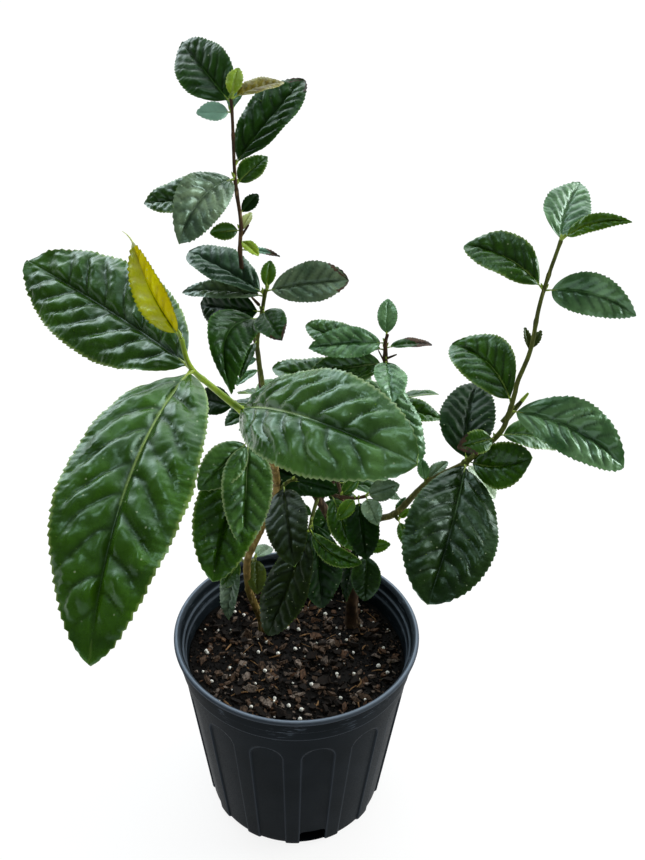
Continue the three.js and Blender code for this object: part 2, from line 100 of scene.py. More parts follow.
# Studio: a floor that glows a little, a dim room behind a white backdrop that only the camera sees,
# and soft lights as direction, sharpness and strength
FLOOR_SIDE = 30
FLOOR_WHITE = 0.15
FLOOR_GLOW = 0.86
DIM_ROOM = (0.09, 0.09, 0.09)
BACKDROP = "#ffffff"
SOFT_LIGHTS = [
    ((0, 0, 1), 2, (0.25, 0.25, 0.25)),
    ((0.212, 0.791, 0.574), 6, (2.6, 2.8, 2.85)),
    ((-0.557, 0.663, 0.5), 20, (5.4, 6.0, 6.4)),
    ((0.875, 0.235, 0.423), 30, (14.0, 14.2, 13.8)),
    ((-0.16, -0.12, 0.98), 70, (5.5, 6.0, 6.0)),
]

# Limbs: centre line in mm, radius at the foot and the tip, flare of the foot, spacing of the leaf scars.
# The left stem and the right bough are a little slimmer than their solids.
LIMBS = {
    "main_trunk": dict(
        path=[(39, 30, 112), (38, 29, 132), (37, 28, 159), (31, 22, 199)],
        radius=(4.2, 3.4), flare=4.5, scars=19, finish="bark_brown"),
    "left_stem": dict(
        path=[(-24, 21, 112), (-26, 19, 134), (-33, 14, 164), (-33, 8, 195), (-25, 2, 221),
              (-13, -16, 265), (-13, -46, 310), (-23, -92, 365)],
        radius=(2.6, 1.8), flare=1.8, scars=21, finish="bark_tan"),
    "top_bough": dict(
        path=[(31, 22, 199), (13, 16, 239), (-2, 12, 270), (-22, 6, 327)],
        radius=(3.1, 1.8), flare=0, scars=17, finish="bark_brown"),
    "right_bough": dict(
        path=[(31, 22, 199), (46, 12, 226), (60, -2, 243), (75, -20, 278), (92, -38, 304)],
        radius=(2.3, 1.6), flare=0, scars=16, finish="bark_olive"),
    "back_bough": dict(
        path=[(13, 16, 239), (33, 26, 270), (49, 30, 305), (51, 31, 327)],
        radius=(2.1, 1.5), flare=0, scars=15, finish="bark_brown"),
}
FLARE_HEIGHT = 9

# Leaf form, as in the solids but for a shorter stalk and a thinner blade
STALK_LENGTH = 3.4
STALK_SHARE = 0.12
BLADE_POWER = 1.4
BROADEST = 0.46
LEAF_FOLD = 14
LEAF_ARCH = 0.06
BLADE_THICKNESS = 0.4
WHISKER = 6
PALE_RIB = 0.6
UNBURNT = 2.0
BUD_RISE = 62
BUD_LENGTH = 3.4
BUD_RADIUS = 0.75
LEAST_BUDDED = 15

# Shoots: stem line, radii, bark finish, leaf tones and leaf rows. A row is place on the stem, turn,
# rise, length, width, roll, then bend, where it is broadest, arch and fold where they differ.
# Tones: k shaded, n dusky, d deep, f fresh, m lit milky, j jade, c crinkled, v vivid, g greyed, s silvered,
# w bleached, l lime, y young, a amber, p bud tip, o olive, u umber. Some are lighter or darker copies that
# paint light, shade or reflection, as told at the waxy leaves. Ribs is how pale a leaf's midrib is.
# Scorch is how far from the root a leaf, by its number, is dried up.
SHOOTS = {}
SHOOTS["front"] = dict(
    path=[(-23, -92, 365), (-32, -120, 392), (-38, -140, 412), (-40, -146, 427)],
    radius=(1.8, 0.9), finish="shoot_green", tones="ffmyk", ribs={0: 0.25, 1: 1.0, 2: 1.0, 3: 1.0},
    leaves=[
        (0.67, 136, 5, 120, 47, -34, -0.02, 0.52, -0.04, 2),
        (0.64, -101, -25, 121, 48, 2, -0.02, 0.48, 0.12, 3),
        (0.02, -46, 12, 108, 47, 37, -0.01, 0.58, 0.16, 0),
        (1, 130, 42, 43, 13, -47, 0.06, 0.4, -0.02, 30),
        (0.06, 144, -8, 26, 14, -50),
    ])
SHOOTS["top"] = dict(
    path=[(-22, 6, 327), (-24, 3, 353), (-29, 0, 378), (-31, -5, 410), (-30, -8, 428), (-32, -10, 449),
          (-32, -15, 479), (-32, -18, 489)],
    radius=(1.5, 0.7), finish="twig_brown", tones="dssladfkcffpls", scorch={5: 0.95, 13: 0.6},
    leaves=[
        (0.96, 126, 25, 50, 26, -40, 0.01, 0.4),
        (0.89, -158, 2, 17, 9, -60),
        (0.89, 79, 33, 19, 9, -15),
        (1, 76, 48, 16, 8, 10),
        (1, 37, 9, 30, 11, 20),
        (0.75, 40, 40, 56, 27, 17, -0.01, 0.52, 0.05),
        (0.7, 42, 29, 23, 12, 37, 0.01, 0.4, 0.05),
        (0.6, 41, 34, 14, 7, 50),
        (0.72, -117, -21, 52, 24, -38, -0.1, 0.51, 0.09),
        (0.72, 176, -17, 49, 23, -31, 0.13, 0.45, 0.05),
        (0.53, -162, -1, 16, 9, -65),
        (0.52, 56, 42, 12, 6, 10),
        (0.48, -32, -27, 13, 7, 20),
        (0.44, -4, -7, 21, 5, 20),
    ])
SHOOTS["middle"] = dict(
    path=[(-21, 3, 328), (-23, -6, 358), (-20, -11, 377), (-18, -14, 390), (-17, -15, 394)],
    radius=(1.3, 1), finish="twig_olive", tones="gcvkddcdjs", scorch={1: 0.93, 5: 0.88},
    leaves=[
        (0.79, 148, 14, 52, 26, -14, 0.03, 0.53),
        (0.94, -7, 12, 44, 22, 50, 0, 0.54),
        (1, 82, 49, 16, 8, 10),
        (0.55, 145, -10, 45, 23, -65),
        (0.48, -106, -27, 50, 25, -38, -0.3, 0.41, 0.13),
        (0.57, -67, -8, 30, 17, 25),
        (0.75, 170, -3, 45, 16, -20),
        (0.29, -113, -36, 25, 10, 20),
        (0.1, -141, -19, 17, 8, 0),
        (0.16, 180, -20, 12, 6, -40),
    ])
SHOOTS["back"] = dict(
    path=[(51, 31, 327), (50, 31, 343), (51, 31, 349)],
    radius=(1.5, 1), finish="twig_brown", tones="jmjdjjfm", scorch={3: 0.5},
    leaves=[
        (0.52, -170, -1, 46, 20, -41, 0, 0.45),
        (0.35, 153, 4, 54, 19, -31, 0.05, 0.54, 0.03),
        (0.77, 88, 49, 24, 12, 0),
        (0.39, 12, 0, 29, 10, 10),
        (0.15, -86, -14, 37, 20, -10),
        (0.04, -65, -40, 62, 24, -13, -0.1, 0.57, 0.05),
        (0.04, 172, -7, 70, 26, -14, 0.15, 0.55, 0.03),
        (0.1, -175, -8, 46, 21, -60),
    ])
SHOOTS["right"] = dict(
    path=[(92, -38, 304), (105, -52, 331), (108, -56, 345), (109, -60, 362)],
    radius=(1.6, 1.2), finish="twig_olive", tones="nwfkfmjf", scorch={4: 0.72},
    leaves=[
        (0.02, -108, -24, 87, 48, -14, 0.01, 0.57, 0.07),
        (0.02, -53, -24, 26, 12, 0),
        (0.04, -32, 23, 38, 25, 61, -0.1, 0.54),
        (0.02, 78, 20, 61, 31, -2, 0.04, 0.4, 0.07),
        (0.31, -155, -2, 23, 13, -45),
        (0.34, 18, -20, 41, 17, 36, 0.05, 0.42, 0.09),
        (0.75, -18, -19, 63, 30, 44, 0.08, 0.49),
        (0.83, 124, 16, 50, 28, -37, -0.12, 0.51),
    ])
SHOOTS["right_tip"] = dict(
    path=[(109, -60, 362), (109, -62, 369), (112, -65, 387), (112, -70, 415), (115, -76, 445)],
    radius=(1.2, 0.8), finish="twig_olive", tones="fjjvoo",
    leaves=[
        (0.79, 152, 19, 42, 23, -35, -0.11, 0.52, 0.04),
        (0.79, -15, -9, 42, 19, 72, 0.1, 0.4),
        (0.99, 68, 23, 42, 21, 14, 0.05, 0.4, 0.02),
        (1, -22, 24, 30, 8, 54, 0.09, 0.4, 0.09),
        (0.49, 110, 52, 12, 4, -5),
        (0.5, 48, 45, 11, 4, 25),
    ])
SHOOTS["low_left"] = dict(
    path=[(-17, -60, 327), (-19, -71, 336), (-22, -80, 342)],
    radius=(1.2, 0.9), finish="twig_olive", tones="fmm",
    leaves=[
        (0.2, -107, -32, 75, 33, -16, -0.04, 0.52, 0.07, 14),
        (1, -90, -49, 54, 25, -14, -0.01, 0.38, 0.05, 13),
        (0.95, -135, -24, 35, 19, -40),
    ])
SHOOTS["low_middle"] = dict(
    path=[(-12, -18, 268), (-5, -24, 280), (0, -26, 283)],
    radius=(1.2, 0.9), finish="twig_olive", tones="uk",
    leaves=[
        (0.3, -81, -17, 56, 25, 22, 0.01, 0.49, 0.08, 7),
        (0.7, -19, -2, 28, 13, 50),
    ])
SHOOTS["low_centre"] = dict(
    path=[(12, 14, 242), (9, 2, 237), (7, -6, 230)],
    radius=(1.3, 0.9), finish="twig_olive", tones="ufkd",
    leaves=[
        (1, -122, -49, 68, 31, 2, 0.03, 0.53, 0.05, 4),
        (0.87, -34, -14, 40, 13, 46, -0.13, 0.53),
        (0.62, -70, -66, 58, 29, -5),
        (0.52, 156, 34, 12, 6, -45),
    ])
SHOOTS["low_right"] = dict(
    path=[(6, 13, 255), (20, -4, 258), (33, -12, 261), (41, -14, 264)],
    radius=(1.3, 0.9), finish="twig_brown", tones="fkvfcck",
    leaves=[
        (0.35, -58, -46, 36, 18, 25),
        (0.79, -78, -46, 37, 20, 10),
        (0.73, -130, -22, 18, 9, -30),
        (0.47, 38, 32, 16, 8, 35),
        (0.99, -7, 29, 22, 13, 55),
        (0.99, -72, -16, 22, 12, 15),
        (0.25, 174, 25, 42, 21, -55),
    ])
SHOOTS["low_front"] = dict(
    path=[(38, 17, 212), (41, 5, 212), (44, 0, 211)],
    radius=(1.2, 0.9), finish="twig_brown", tones="nkv",
    leaves=[
        (1, -91, -49, 31, 19, 0),
        (0.35, -115, -62, 40, 14, 30),
        (0.71, -11, 21, 18, 9, 50),
    ])
SHOOTS["foot_left"] = dict(
    path=[(-34, 9, 192), (-37, 15, 189), (-40, 22, 186)],
    radius=(1.1, 0.9), finish="twig_olive", tones="cf",
    leaves=[
        (1, -110, -63, 44, 17, 20),
        (0.7, -159, -57, 25, 12, -50),
    ])
SHOOTS["foot_right"] = dict(
    path=[(-31, 8, 194), (-30, 17, 188), (-29, 25, 185)],
    radius=(1.1, 0.9), finish="twig_olive", tones="oc",
    leaves=[
        (1, -84, -39, 26, 13, 0),
        (0.7, 62, -12, 22, 11, 10),
    ])
SHOOTS["branch"] = dict(
    path=[(75, -20, 278), (74, -22, 282)],
    radius=(1.1, 0.8), finish="twig_olive", tones="jc",
    leaves=[
        (0.43, 110, 52, 14, 7, -20),
        (0.38, 35, 30, 18, 9, 5),
    ])
SHOOTS["bend"] = dict(
    path=[(60, -2, 243), (61, -5, 242), (62, -7, 242)],
    radius=(1.1, 0.8), finish="twig_olive", tones="fvf",
    leaves=[
        (1, -60, -44, 18, 8, 25),
        (0.7, 27, 29, 10, 5, 40),
        (0.5, 58, 44, 14, 7, -25),
    ])
SHOOTS["rear_left"] = dict(
    path=[(-5, 12, 276), (-8, 40, 284), (-15, 66, 282), (-20, 86, 272)],
    radius=(1.6, 0.9), finish="twig_brown",
    spiral=dict(seed=2, count=6, first=0.25, turn=160, rise=-12, length=44, twigs=2))
SHOOTS["rear_right"] = dict(
    path=[(33, 26, 270), (44, 55, 278), (52, 82, 273), (56, 104, 260)],
    radius=(1.6, 0.9), finish="twig_brown",
    spiral=dict(seed=8, count=6, first=0.25, turn=80, rise=-12, length=44, twigs=2))
SHOOTS["rear_low"] = dict(
    path=[(33, 24, 192), (30, 48, 210), (24, 76, 218), (16, 100, 214)],
    radius=(1.6, 0.9), finish="twig_brown",
    spiral=dict(seed=7, count=6, first=0.3, turn=90, rise=-18, length=42, twigs=1))
RULED_TONES = "ddfdgdmfddfd"

# Rule of the ruled shoots, as in the solids
LEAF_SPIRAL = 137.5
TURN_STRAY = 24
RISE_STRAY = 26
SIZE_STRAY = 0.4
ROLL_STRAY = 36
WIDTH_SHARE = 0.45
TWIG_FIRST = 0.4
TWIG_STEP = 0.3
TWIG_LENGTH = 26
TWIG_RADIUS = (1, 0.8)
TWIG_RISE = 25
TWIG_BEND = 4
TWIG_LEAVES = dict(count=3, first=0.45, rise=5, length=30)
CROWN_RADIUS = 150
CROWN_FOOT_Z = 152

# Stubs and side buds that stand off the stems: foot, tip, radius, finish
STUBS = [
    ((106, -55.5, 341), (116, -50, 352), 1.7, "twig_olive"),
    ((115, -50.5, 351), (118.5, -48.6, 355), 1.1, "stalk"),
    ((-30, -7, 420), (-26, -8, 426), 0.8, "twig_brown"),
    ((51, 31, 333), (57, 29, 337), 0.8, "twig_brown"),
    ((50, 31, 331), (46, 30, 339), 0.6, "twig_brown"),
    ((-21, -12, 384), (-25, -13, 389), 0.9, "twig_brown"),
]


# Colours, nodes and materials

SHADER = "Principled BSDF"
WAX_TINT = "#c4ecdc"
DUST = "#aebb98"


def linear(colour):
    """An sRGB hex colour as linear red, green, blue and alpha."""
    parts = [int(colour[i:i + 2], 16) / 255 for i in (1, 3, 5)]
    return [c / 12.92 if c <= 0.04045 else ((c + 0.055) / 1.055) ** 2.4 for c in parts] + [1.0]


def darker(colour):
    """A hex colour at half its value, for the painted shade in a leaf's creases."""
    return "#" + "".join("%02x" % (int(colour[i:i + 2], 16) // 2) for i in (1, 3, 5))


def add(tree, kind, inputs, output=0, **settings):
    """Adds a node with its settings and gives one output. An input is a link, a hex colour or a value."""
    node = tree.nodes.new(kind)
    for name, value in settings.items():
        setattr(node, name, value)
    for name, value in inputs.items():
        if isinstance(value, bpy.types.NodeSocket):
            tree.links.new(value, node.inputs[name])
        else:
            node.inputs[name].default_value = linear(value) if isinstance(value, str) else value
    return node.outputs[output]


def start_material(name, ior, roughness, specular=0.5):
    """A new material, its tree and the Object coordinates."""
    material = bpy.data.materials.new(name)
    material.use_nodes = True
    tree = material.node_tree
    shader = tree.nodes[SHADER]
    shader.inputs["IOR"].default_value = ior
    shader.inputs["Roughness"].default_value = roughness
    shader.inputs["Specular IOR Level"].default_value = specular
    return material, tree, add(tree, "ShaderNodeTexCoord", {}, "Object")


def grain(tree, place, size_mm, detail=3.0, stretch=(1, 1, 1)):
    """Uneven grain of a real size in mm, stretched along the axes by shares."""
    turned = add(tree, "ShaderNodeMapping", {"Vector": place, "Scale": stretch})
    return add(tree, "ShaderNodeTexNoise", {"Vector": turned, "Scale": 1 / (size_mm * MM), "Detail": detail})


def shaded(tree, value, low, high, first, second, most=1.0):
    """Turns one colour into another, as far as a share of it, while a value runs from low to high."""
    share = add(tree, "ShaderNodeMapRange",
                {"Value": value, "From Min": low, "From Max": high, "To Max": most})
    return add(tree, "ShaderNodeMix", {0: share, 6: first, 7: second}, 2, data_type="RGBA")


def clouded(tree, place, size_mm, shade, colour, low=0.35, high=0.65):
    """Two colours in clouds of a real size in mm."""
    return shaded(tree, grain(tree, place, size_mm), low, high, shade, colour)


def roughen(tree, pattern, low, high):
    """Lets the roughness follow a pattern."""
    rough = add(tree, "ShaderNodeMapRange", {"Value": pattern, "From Min": 0.3, "From Max": 0.7,
                                             "To Min": low, "To Max": high})
    tree.links.new(rough, tree.nodes[SHADER].inputs["Roughness"])


def surfaced(material, colour, height, depth_mm, strength):
    """The material with its colour and a relief of a real depth in mm."""
    tree = material.node_tree
    shader = tree.nodes[SHADER]
    relief = add(tree, "ShaderNodeBump",
                 {"Height": height, "Strength": strength, "Distance": depth_mm * MM})
    tree.links.new(colour, shader.inputs["Base Color"])
    tree.links.new(relief, shader.inputs["Normal"])
    return material


def waxy_leaf(name, blade, shade, vein, gloss=0.32, sheen=0.4, crease=None):
    """Upper face of a tea leaf: waxy skin over green tissue, a pale midrib, a painted highlight along the
    margin and painted shade in the creases.
    """
    material, tree, place = start_material(name, 1.45, gloss, sheen)
    tree.nodes[SHADER].inputs["Specular Tint"].default_value = linear(WAX_TINT)
    tissue = clouded(tree, place, 14, shade, blade, high=0.68)
    mark = add(tree, "ShaderNodeAttribute", {}, "Fac", attribute_name="vein")
    # painted shade: marks below 0 darken the tissue towards the crease colour
    creased = shaded(tree, mark, 0, -1, tissue, crease or darker(shade))
    # marks above 0 turn it to the vein colour: the pale midrib and the painted highlight of the margin
    veined = shaded(tree, mark, 0, 1, creased, vein)
    dots = add(tree, "ShaderNodeTexVoronoi", {"Vector": place, "Scale": 1 / (4.6 * MM)}, "Distance")
    specked = shaded(tree, dots, 0.1, 0.05, veined, DUST, most=0.55)
    roughen(tree, grain(tree, place, 5, detail=4.0), gloss - 0.05, gloss + 0.1)
    cells = add(tree, "ShaderNodeTexVoronoi", {"Vector": place, "Scale": 1 / (1.5 * MM)}, "Distance",
                feature="SMOOTH_F1")
    return surfaced(material, specked, cells, 0.13, 0.5)


def leaf_underside(name, colour, shade, vein):
    """Underside of a tea leaf: paler, matt, with raised veins. Its bright yellow-green is partly its own and
    partly painted light through the leaf.
    """
    material, tree, place = start_material(name, 1.4, 0.55, 0.35)
    tissue = clouded(tree, place, 9, shade, colour, high=0.68)
    mark = add(tree, "ShaderNodeAttribute", {}, "Fac", attribute_name="vein")
    share = add(tree, "ShaderNodeMath", {0: mark}, operation="ABSOLUTE")
    veined = shaded(tree, share, 0, 1, tissue, vein)
    return surfaced(material, veined, grain(tree, place, 1.2, detail=2.0), 0.1, 0.5)


def dried_leaf(name):
    """Scorched leaf tissue: brown to black, brittle and matt."""
    material, tree, place = start_material(name, 1.4, 0.7)
    colour = clouded(tree, place, 3, "#1a1510", "#4c3520")
    return surfaced(material, colour, grain(tree, place, 1.0), 0.25, 0.7)


def soft_stalk(name, colour, shade):
    """Leaf stalk or green shoot: smooth young skin with a low gloss."""
    material, tree, place = start_material(name, 1.42, 0.38, 0.4)
    skin = clouded(tree, place, 6, shade, colour)
    return surfaced(material, skin, grain(tree, place, 1.2, detail=2.0), 0.12, 0.5)


def stem_bark(name, colour, shade, pale):
    """Thin bark of a young stem: long fine fissures, grey lenticels and a matt surface."""
    material, tree, place = start_material(name, 1.45, 0.72, 0.2)
    streak = grain(tree, place, 1.6, detail=5.0, stretch=(1, 1, 0.22))
    base = clouded(tree, place, 7, shade, colour, 0.36, 0.66)
    return surfaced(material, shaded(tree, streak, 0.56, 0.72, base, pale), streak, 0.5, 0.9)


def pot_plastic(name):
    """Injection moulded polypropylene: near black, low sheen, scuffed, with painted highlights on the lip,
    steps, ledges and flute edges.
    """
    material, tree, place = start_material(name, 1.49, 0.42, 0.02)
    height = add(tree, "ShaderNodeSeparateXYZ", {"Vector": place}, "Z")
    scratches = grain(tree, place, 2.4, detail=6.0, stretch=(0.35, 0.35, 3.0))
    patches = grain(tree, place, 16, detail=2.0)
    scuff = 1.0
    for pattern, low, high in ((scratches, 0.55, 0.72), (patches, 0.5, 0.66), (height, 0.118, 0.128)):
        share = add(tree, "ShaderNodeMapRange", {"Value": pattern, "From Min": low, "From Max": high})
        scuff = add(tree, "ShaderNodeMath", {0: share, 1: scuff}, operation="MULTIPLY")
    scuffed = shaded(tree, scuff, 0, 1, clouded(tree, place, 30, "#10161a", "#171d22", 0.3, 0.7), "#5a646f")
    # painted highlight: pale blue-grey on the lip, steps, ledges and flute edges, as the point attribute
    # says
    worn = add(tree, "ShaderNodeAttribute", {}, "Fac", attribute_name="worn")
    fine = grain(tree, place, 0.9)
    roughen(tree, fine, 0.36, 0.52)
    return surfaced(material, shaded(tree, worn, 0, 1, scuffed, "#8692a2"), fine, 0.05, 0.5)


def bark_chip(name, colour, shade, rough=0.8):
    """Composted bark or peat: fibrous, matt and slightly damp."""
    material, tree, place = start_material(name, 1.4, rough, 0.2)
    fibre = grain(tree, place, 1.1, detail=5.0, stretch=(1, 0.4, 1))
    return surfaced(material, shaded(tree, fibre, 0.35, 0.66, shade, colour), fibre, 0.4, 0.9)


def perlite(name):
    """Expanded volcanic glass: chalk white porous beads."""
    material, tree, place = start_material(name, 1.5, 0.85)
    pores = grain(tree, place, 0.5)
    return surfaced(material, shaded(tree, pores, 0.3, 0.6, "#b9b4a8", "#f4f2ec"), pores, 0.15, 0.8)


def white_sweep(name):
    """Matt white acrylic, lit a little from beneath."""
    material, tree, _ = start_material(name, 1.4, 0.95, 0.0)
    shader = tree.nodes[SHADER]
    shader.inputs["Base Color"].default_value = (FLOOR_WHITE, FLOOR_WHITE, FLOOR_WHITE, 1)
    shader.inputs["Emission Color"].default_value = (1, 1, 1, 1)
    shader.inputs["Emission Strength"].default_value = FLOOR_GLOW
    return material


# Waxy leaves by age and place: blade, shade and vein, then roughness, gloss and crease where they differ.
# The creases get painted shade, at half the shade colour unless a crease colour is given.
WAXY_LEAVES = {
    # shaded: a darker copy, painted shade on leaves deep in the crown
    "shaded": ("#102d02", "#091c00", "#2c4a1c", 0.36, 0.18),
    "dusky": ("#21380e", "#122605", "#4c6a3c", 0.26, 0.45),
    "deep": ("#264a0b", "#183603", "#56803a", 0.3, 0.32),
    "fresh": ("#355c0a", "#234202", "#a3bc66", 0.25, 0.55),
    # a lighter copy, painted extra light and a milky sheen
    "lit_milky": ("#4c7234", "#284a10", "#b9cc94", 0.22, 0.75),
    # jade: a lighter glossy copy that paints in part the highlight bands
    "jade": ("#6a9260", "#32582a", "#5c8450", 0.2, 0.9),
    # crinkled: a lighter grey copy, painted sky reflection, and a dark vein colour, painted shade in the
    # midrib groove
    "crinkled": ("#728666", "#425840", "#54684a", 0.23, 0.65),
    # vivid: bright lime green, partly young growth and partly painted light through backlit leaves
    "vivid": ("#476e02", "#355801", "#8cab3c"),
    # greyed: a bluish grey copy, painted sky reflection
    "greyed": ("#38533b", "#263e2a", "#6a8a66", 0.28),
    # silvered: pale blue-grey, partly the leaves' own paleness and partly painted sky reflection
    "silvered": ("#7ca590", "#628874", "#9abba2"),
    "bleached": ("#e8f6e4", "#d6ead2", "#e8f0dc"),
    "lime": ("#96b02c", "#7a981e", "#bccb70"),
    "young": ("#d8de04", "#a0a600", "#46580a", 0.22, 0.6, "#d2d06a"),
    "ripened": ("#eee800", "#dccc00", "#46580a", 0.3, 0.2, "#bcae00"),
    "amber": ("#8a8616", "#5e4a10", "#a8a452", 0.3),
    "budtip": ("#dde4a0", "#c9d48a", "#b9c27c", 0.4),
    "olive": ("#4a5618", "#343f0c", "#66762e"),
    "umber": ("#1e2c06", "#121c02", "#3c4a1c", 0.36, 0.25),
}
# Barks by stem: colour, shade and pale streaks. Bark chips: colour and shade.
BARKS = {
    "twig_olive": ("#4a5518", "#343a12", "#6f7438"),
    "twig_brown": ("#4b3622", "#2e2116", "#7b6444"),
    "bark_brown": ("#463423", "#2a1f16", "#77634a"),
    "bark_tan": ("#7f6b34", "#5a4b24", "#a58f5c"),
    "bark_olive": ("#4e4e1c", "#343412", "#7a7840"),
}
CHIPPED_BARKS = {
    "chip_dark": ("#1d140e", "#090604"),
    "chip_brown": ("#574436", "#241a13"),
    "chip_grey": ("#7a6c62", "#3e342e"),
    "chip_red": ("#5e4433", "#2e2016"),
}
FINISHES = {name: waxy_leaf("waxy_leaf_" + name, *look) for name, look in WAXY_LEAVES.items()}
FINISHES |= {
    "dried": dried_leaf("dried_leaf"),
    # the underside's bright yellow-green is partly painted light through the leaf
    "under": leaf_underside("leaf_underside", "#4f7714", "#3b6012", "#86a045"),
    "stalk": soft_stalk("leaf_stalk", "#93a83a", "#728c2c"),
    "shoot_green": soft_stalk("shoot_green", "#8ba32c", "#6c8a24"),
    "pot": pot_plastic("moulded_polypropylene"),
    "peat": bark_chip("damp_peat", "#0d0806", "#030201", 0.85),
    "straw": bark_chip("pale_fibre", "#8a6844", "#543c24", 0.7),
    "perlite": perlite("perlite_grain"),
}
FINISHES |= {name: stem_bark(name, *look) for name, look in BARKS.items()}
FINISHES |= {name: bark_chip("bark_" + name, *look) for name, look in CHIPPED_BARKS.items()}
LEAF_SLOTS = [*WAXY_LEAVES, "dried", "under", "stalk"]
TWIG_SLOTS = ["twig_olive", "twig_brown", "shoot_green", "stalk", "dried"]
# The letters of the tones, with a dash for the ripened side of a young leaf
TONES = dict(zip("kndfmjcvgswly-apou", WAXY_LEAVES))


# Skins: closed tubes of rings, joined into one mesh

class Skin:
    """Gathers closed tubes of rings into one mesh with material slots, veins and its own flat map."""

    def __init__(self):
        self.points, self.veins, self.faces, self.slots, self.corners, self.islands = [], [], [], [], [], []
        self.count = 0

    def add(self, rings, slot, size, vein=None):
        """Adds rings of points, rows by columns, turning left-handed round the way they run."""
        rows, cols = rings.shape[:2]
        first, foot = self.count, self.count + rows * cols
        self.count = foot + 2
        vein = np.zeros((rows, cols)) if vein is None else vein
        self.points += [rings.reshape(-1, 3), rings[[0, -1]].mean(axis=1)]
        self.veins += [vein.ravel(), vein[[0, -1]].mean(axis=1)]
        step = 1 / (rows + 1)

        def on_map(*corners):
            """Corners of faces on the flat map: column, and share of the height."""
            return np.stack([np.stack([c / cols, level + 0 * c], 1) for c, level in corners], 1)

        r, c = (a.ravel() for a in np.indices((rows - 1, cols)))
        n = (c + 1) % cols
        low, high = (r + 1) * step, (r + 2) * step
        quads = first + np.stack([r * cols + c, r * cols + n, (r + 1) * cols + n, (r + 1) * cols + c], 1)
        quads_flat = on_map((c, low), (c + 1, low), (c + 1, high), (c, high))
        c = np.arange(cols)
        n = (c + 1) % cols
        feet = np.stack([first + n, first + c, np.full(cols, foot)], 1)
        feet_flat = on_map((c + 1, step), (c, step), (c + 0.5, 0))
        tips = np.stack([foot - cols + c, foot - cols + n, np.full(cols, foot + 1)], 1)
        tips_flat = on_map((c, 1 - step), (c + 1, 1 - step), (c + 0.5, 1))
        kind = np.broadcast_to(np.asarray(slot), (rows - 1, cols))
        for faces, flat, kinds in ((quads, quads_flat, kind.ravel()), (feet, feet_flat, kind[0]),
                                   (tips, tips_flat, kind[-1])):
            self.faces.append(faces)
            self.slots.append(kinds)
            self.corners.append((len(self.islands), flat.reshape(-1, 2)))
        self.islands.append(size)

    def layout(self):
        """Places every island of the flat map on shelves, and returns origin and scale of each."""
        gap = 0.6
        sizes = np.array(self.islands, float) + gap
        width = math.sqrt((sizes[:, 0] * sizes[:, 1]).sum() * 1.15) + sizes[:, 0].max() * 0.2
        places = np.zeros_like(sizes)
        x = y = shelf = 0.0
        for k in np.argsort(-sizes[:, 1]):
            if x + sizes[k, 0] > width:
                x, y, shelf = 0.0, y + shelf, 0.0
            places[k] = x, y
            x += sizes[k, 0]
            shelf = max(shelf, sizes[k, 1])
        side = max(width, y + shelf, sizes[:, 0].max())
        return places / side, (sizes - gap) / side

    def build(self, name, finishes, nodes):
        """Makes the object, gives it its materials and hands it to the frame."""
        mesh = bpy.data.meshes.new(name)
        points = np.concatenate(self.points) * MM
        faces = [face for block in self.faces for face in block.tolist()]
        mesh.from_pydata(points.tolist(), [], faces)
        for finish in finishes:
            mesh.materials.append(FINISHES[finish])
        mesh.polygons.foreach_set("material_index", np.concatenate(self.slots).astype(np.int32))
        mesh.polygons.foreach_set("use_smooth", np.ones(len(faces), bool))
        places, scales = self.layout()
        flat = np.concatenate([uv * scales[k] + places[k] for k, uv in self.corners])
        mesh.uv_layers.new(name="OFBake").data.foreach_set("uv", flat.astype(np.float32).ravel())
        # the vein marks also carry the painted highlight of leaf margins and the painted shade in their
        # creases
        vein = mesh.attributes.new("vein", "FLOAT", "POINT")
        vein.data.foreach_set("value", np.concatenate(self.veins).astype(np.float32))
        mesh.set_sharp_from_angle(angle=math.radians(55))
        mesh.update()
        piece = bpy.data.objects.new(name, mesh)
        bpy.context.scene.collection.objects.link(piece)
        hand_over(piece, nodes)


def hand_over(piece, nodes):
    """The piece rides on the one body and stands for the nodes, which it hides."""
    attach(piece, "root")
    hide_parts(*nodes)


# Growth rules, as in the solids

def curve_point(path, share):
    """A point on the smooth line through a path, at a share of its spans."""
    points = np.array(path, float)
    spans = len(points) - 1
    x = min(max(share, 0.0), 1.0) * spans
    i = min(int(x), spans - 1)
    u = x - i
    b, c = points[i], points[i + 1]
    a = points[i - 1] if i > 0 else 2 * b - c
    d = points[i + 2] if i + 2 <= spans else 2 * c - b
    v0, v1 = (c - a) / 2, (d - b) / 2
    return (2 * b - 2 * c + v0 + v1) * u ** 3 + (-3 * b + 3 * c - 2 * v0 - v1) * u * u + v0 * u + b


def smooth_line(path, step):
    """Points along the smooth line at an even spacing, with their share of its length."""
    fine = np.array([curve_point(path, t) for t in np.linspace(0, 1, 40 * len(path))])
    run = np.concatenate([[0], np.cumsum(np.linalg.norm(np.diff(fine, axis=0), axis=1))])
    share = np.linspace(0, 1, max(3, int(run[-1] / step)))
    return np.stack([np.interp(share * run[-1], run, fine[:, k]) for k in range(3)], 1), share, run[-1]


def chance(seed, k):
    """A repeatable number from 0 to 1."""
    x = math.sin(seed * 12.9898 + k * 78.233) * 43758.5453
    return x - math.floor(x)


def leaf_axes(turn, rise, roll):
    """Axes of a leaf: along it, to its left, and out of its upper face."""
    a, e, r = (math.radians(v) for v in (turn, rise, roll))
    along = np.array([math.cos(e) * math.cos(a), math.cos(e) * math.sin(a), math.sin(e)])
    level = np.array([-math.sin(a), math.cos(a), 0.0])
    left = level * math.cos(r) + np.cross(along, level) * math.sin(r)
    return along, left, np.cross(along, left)


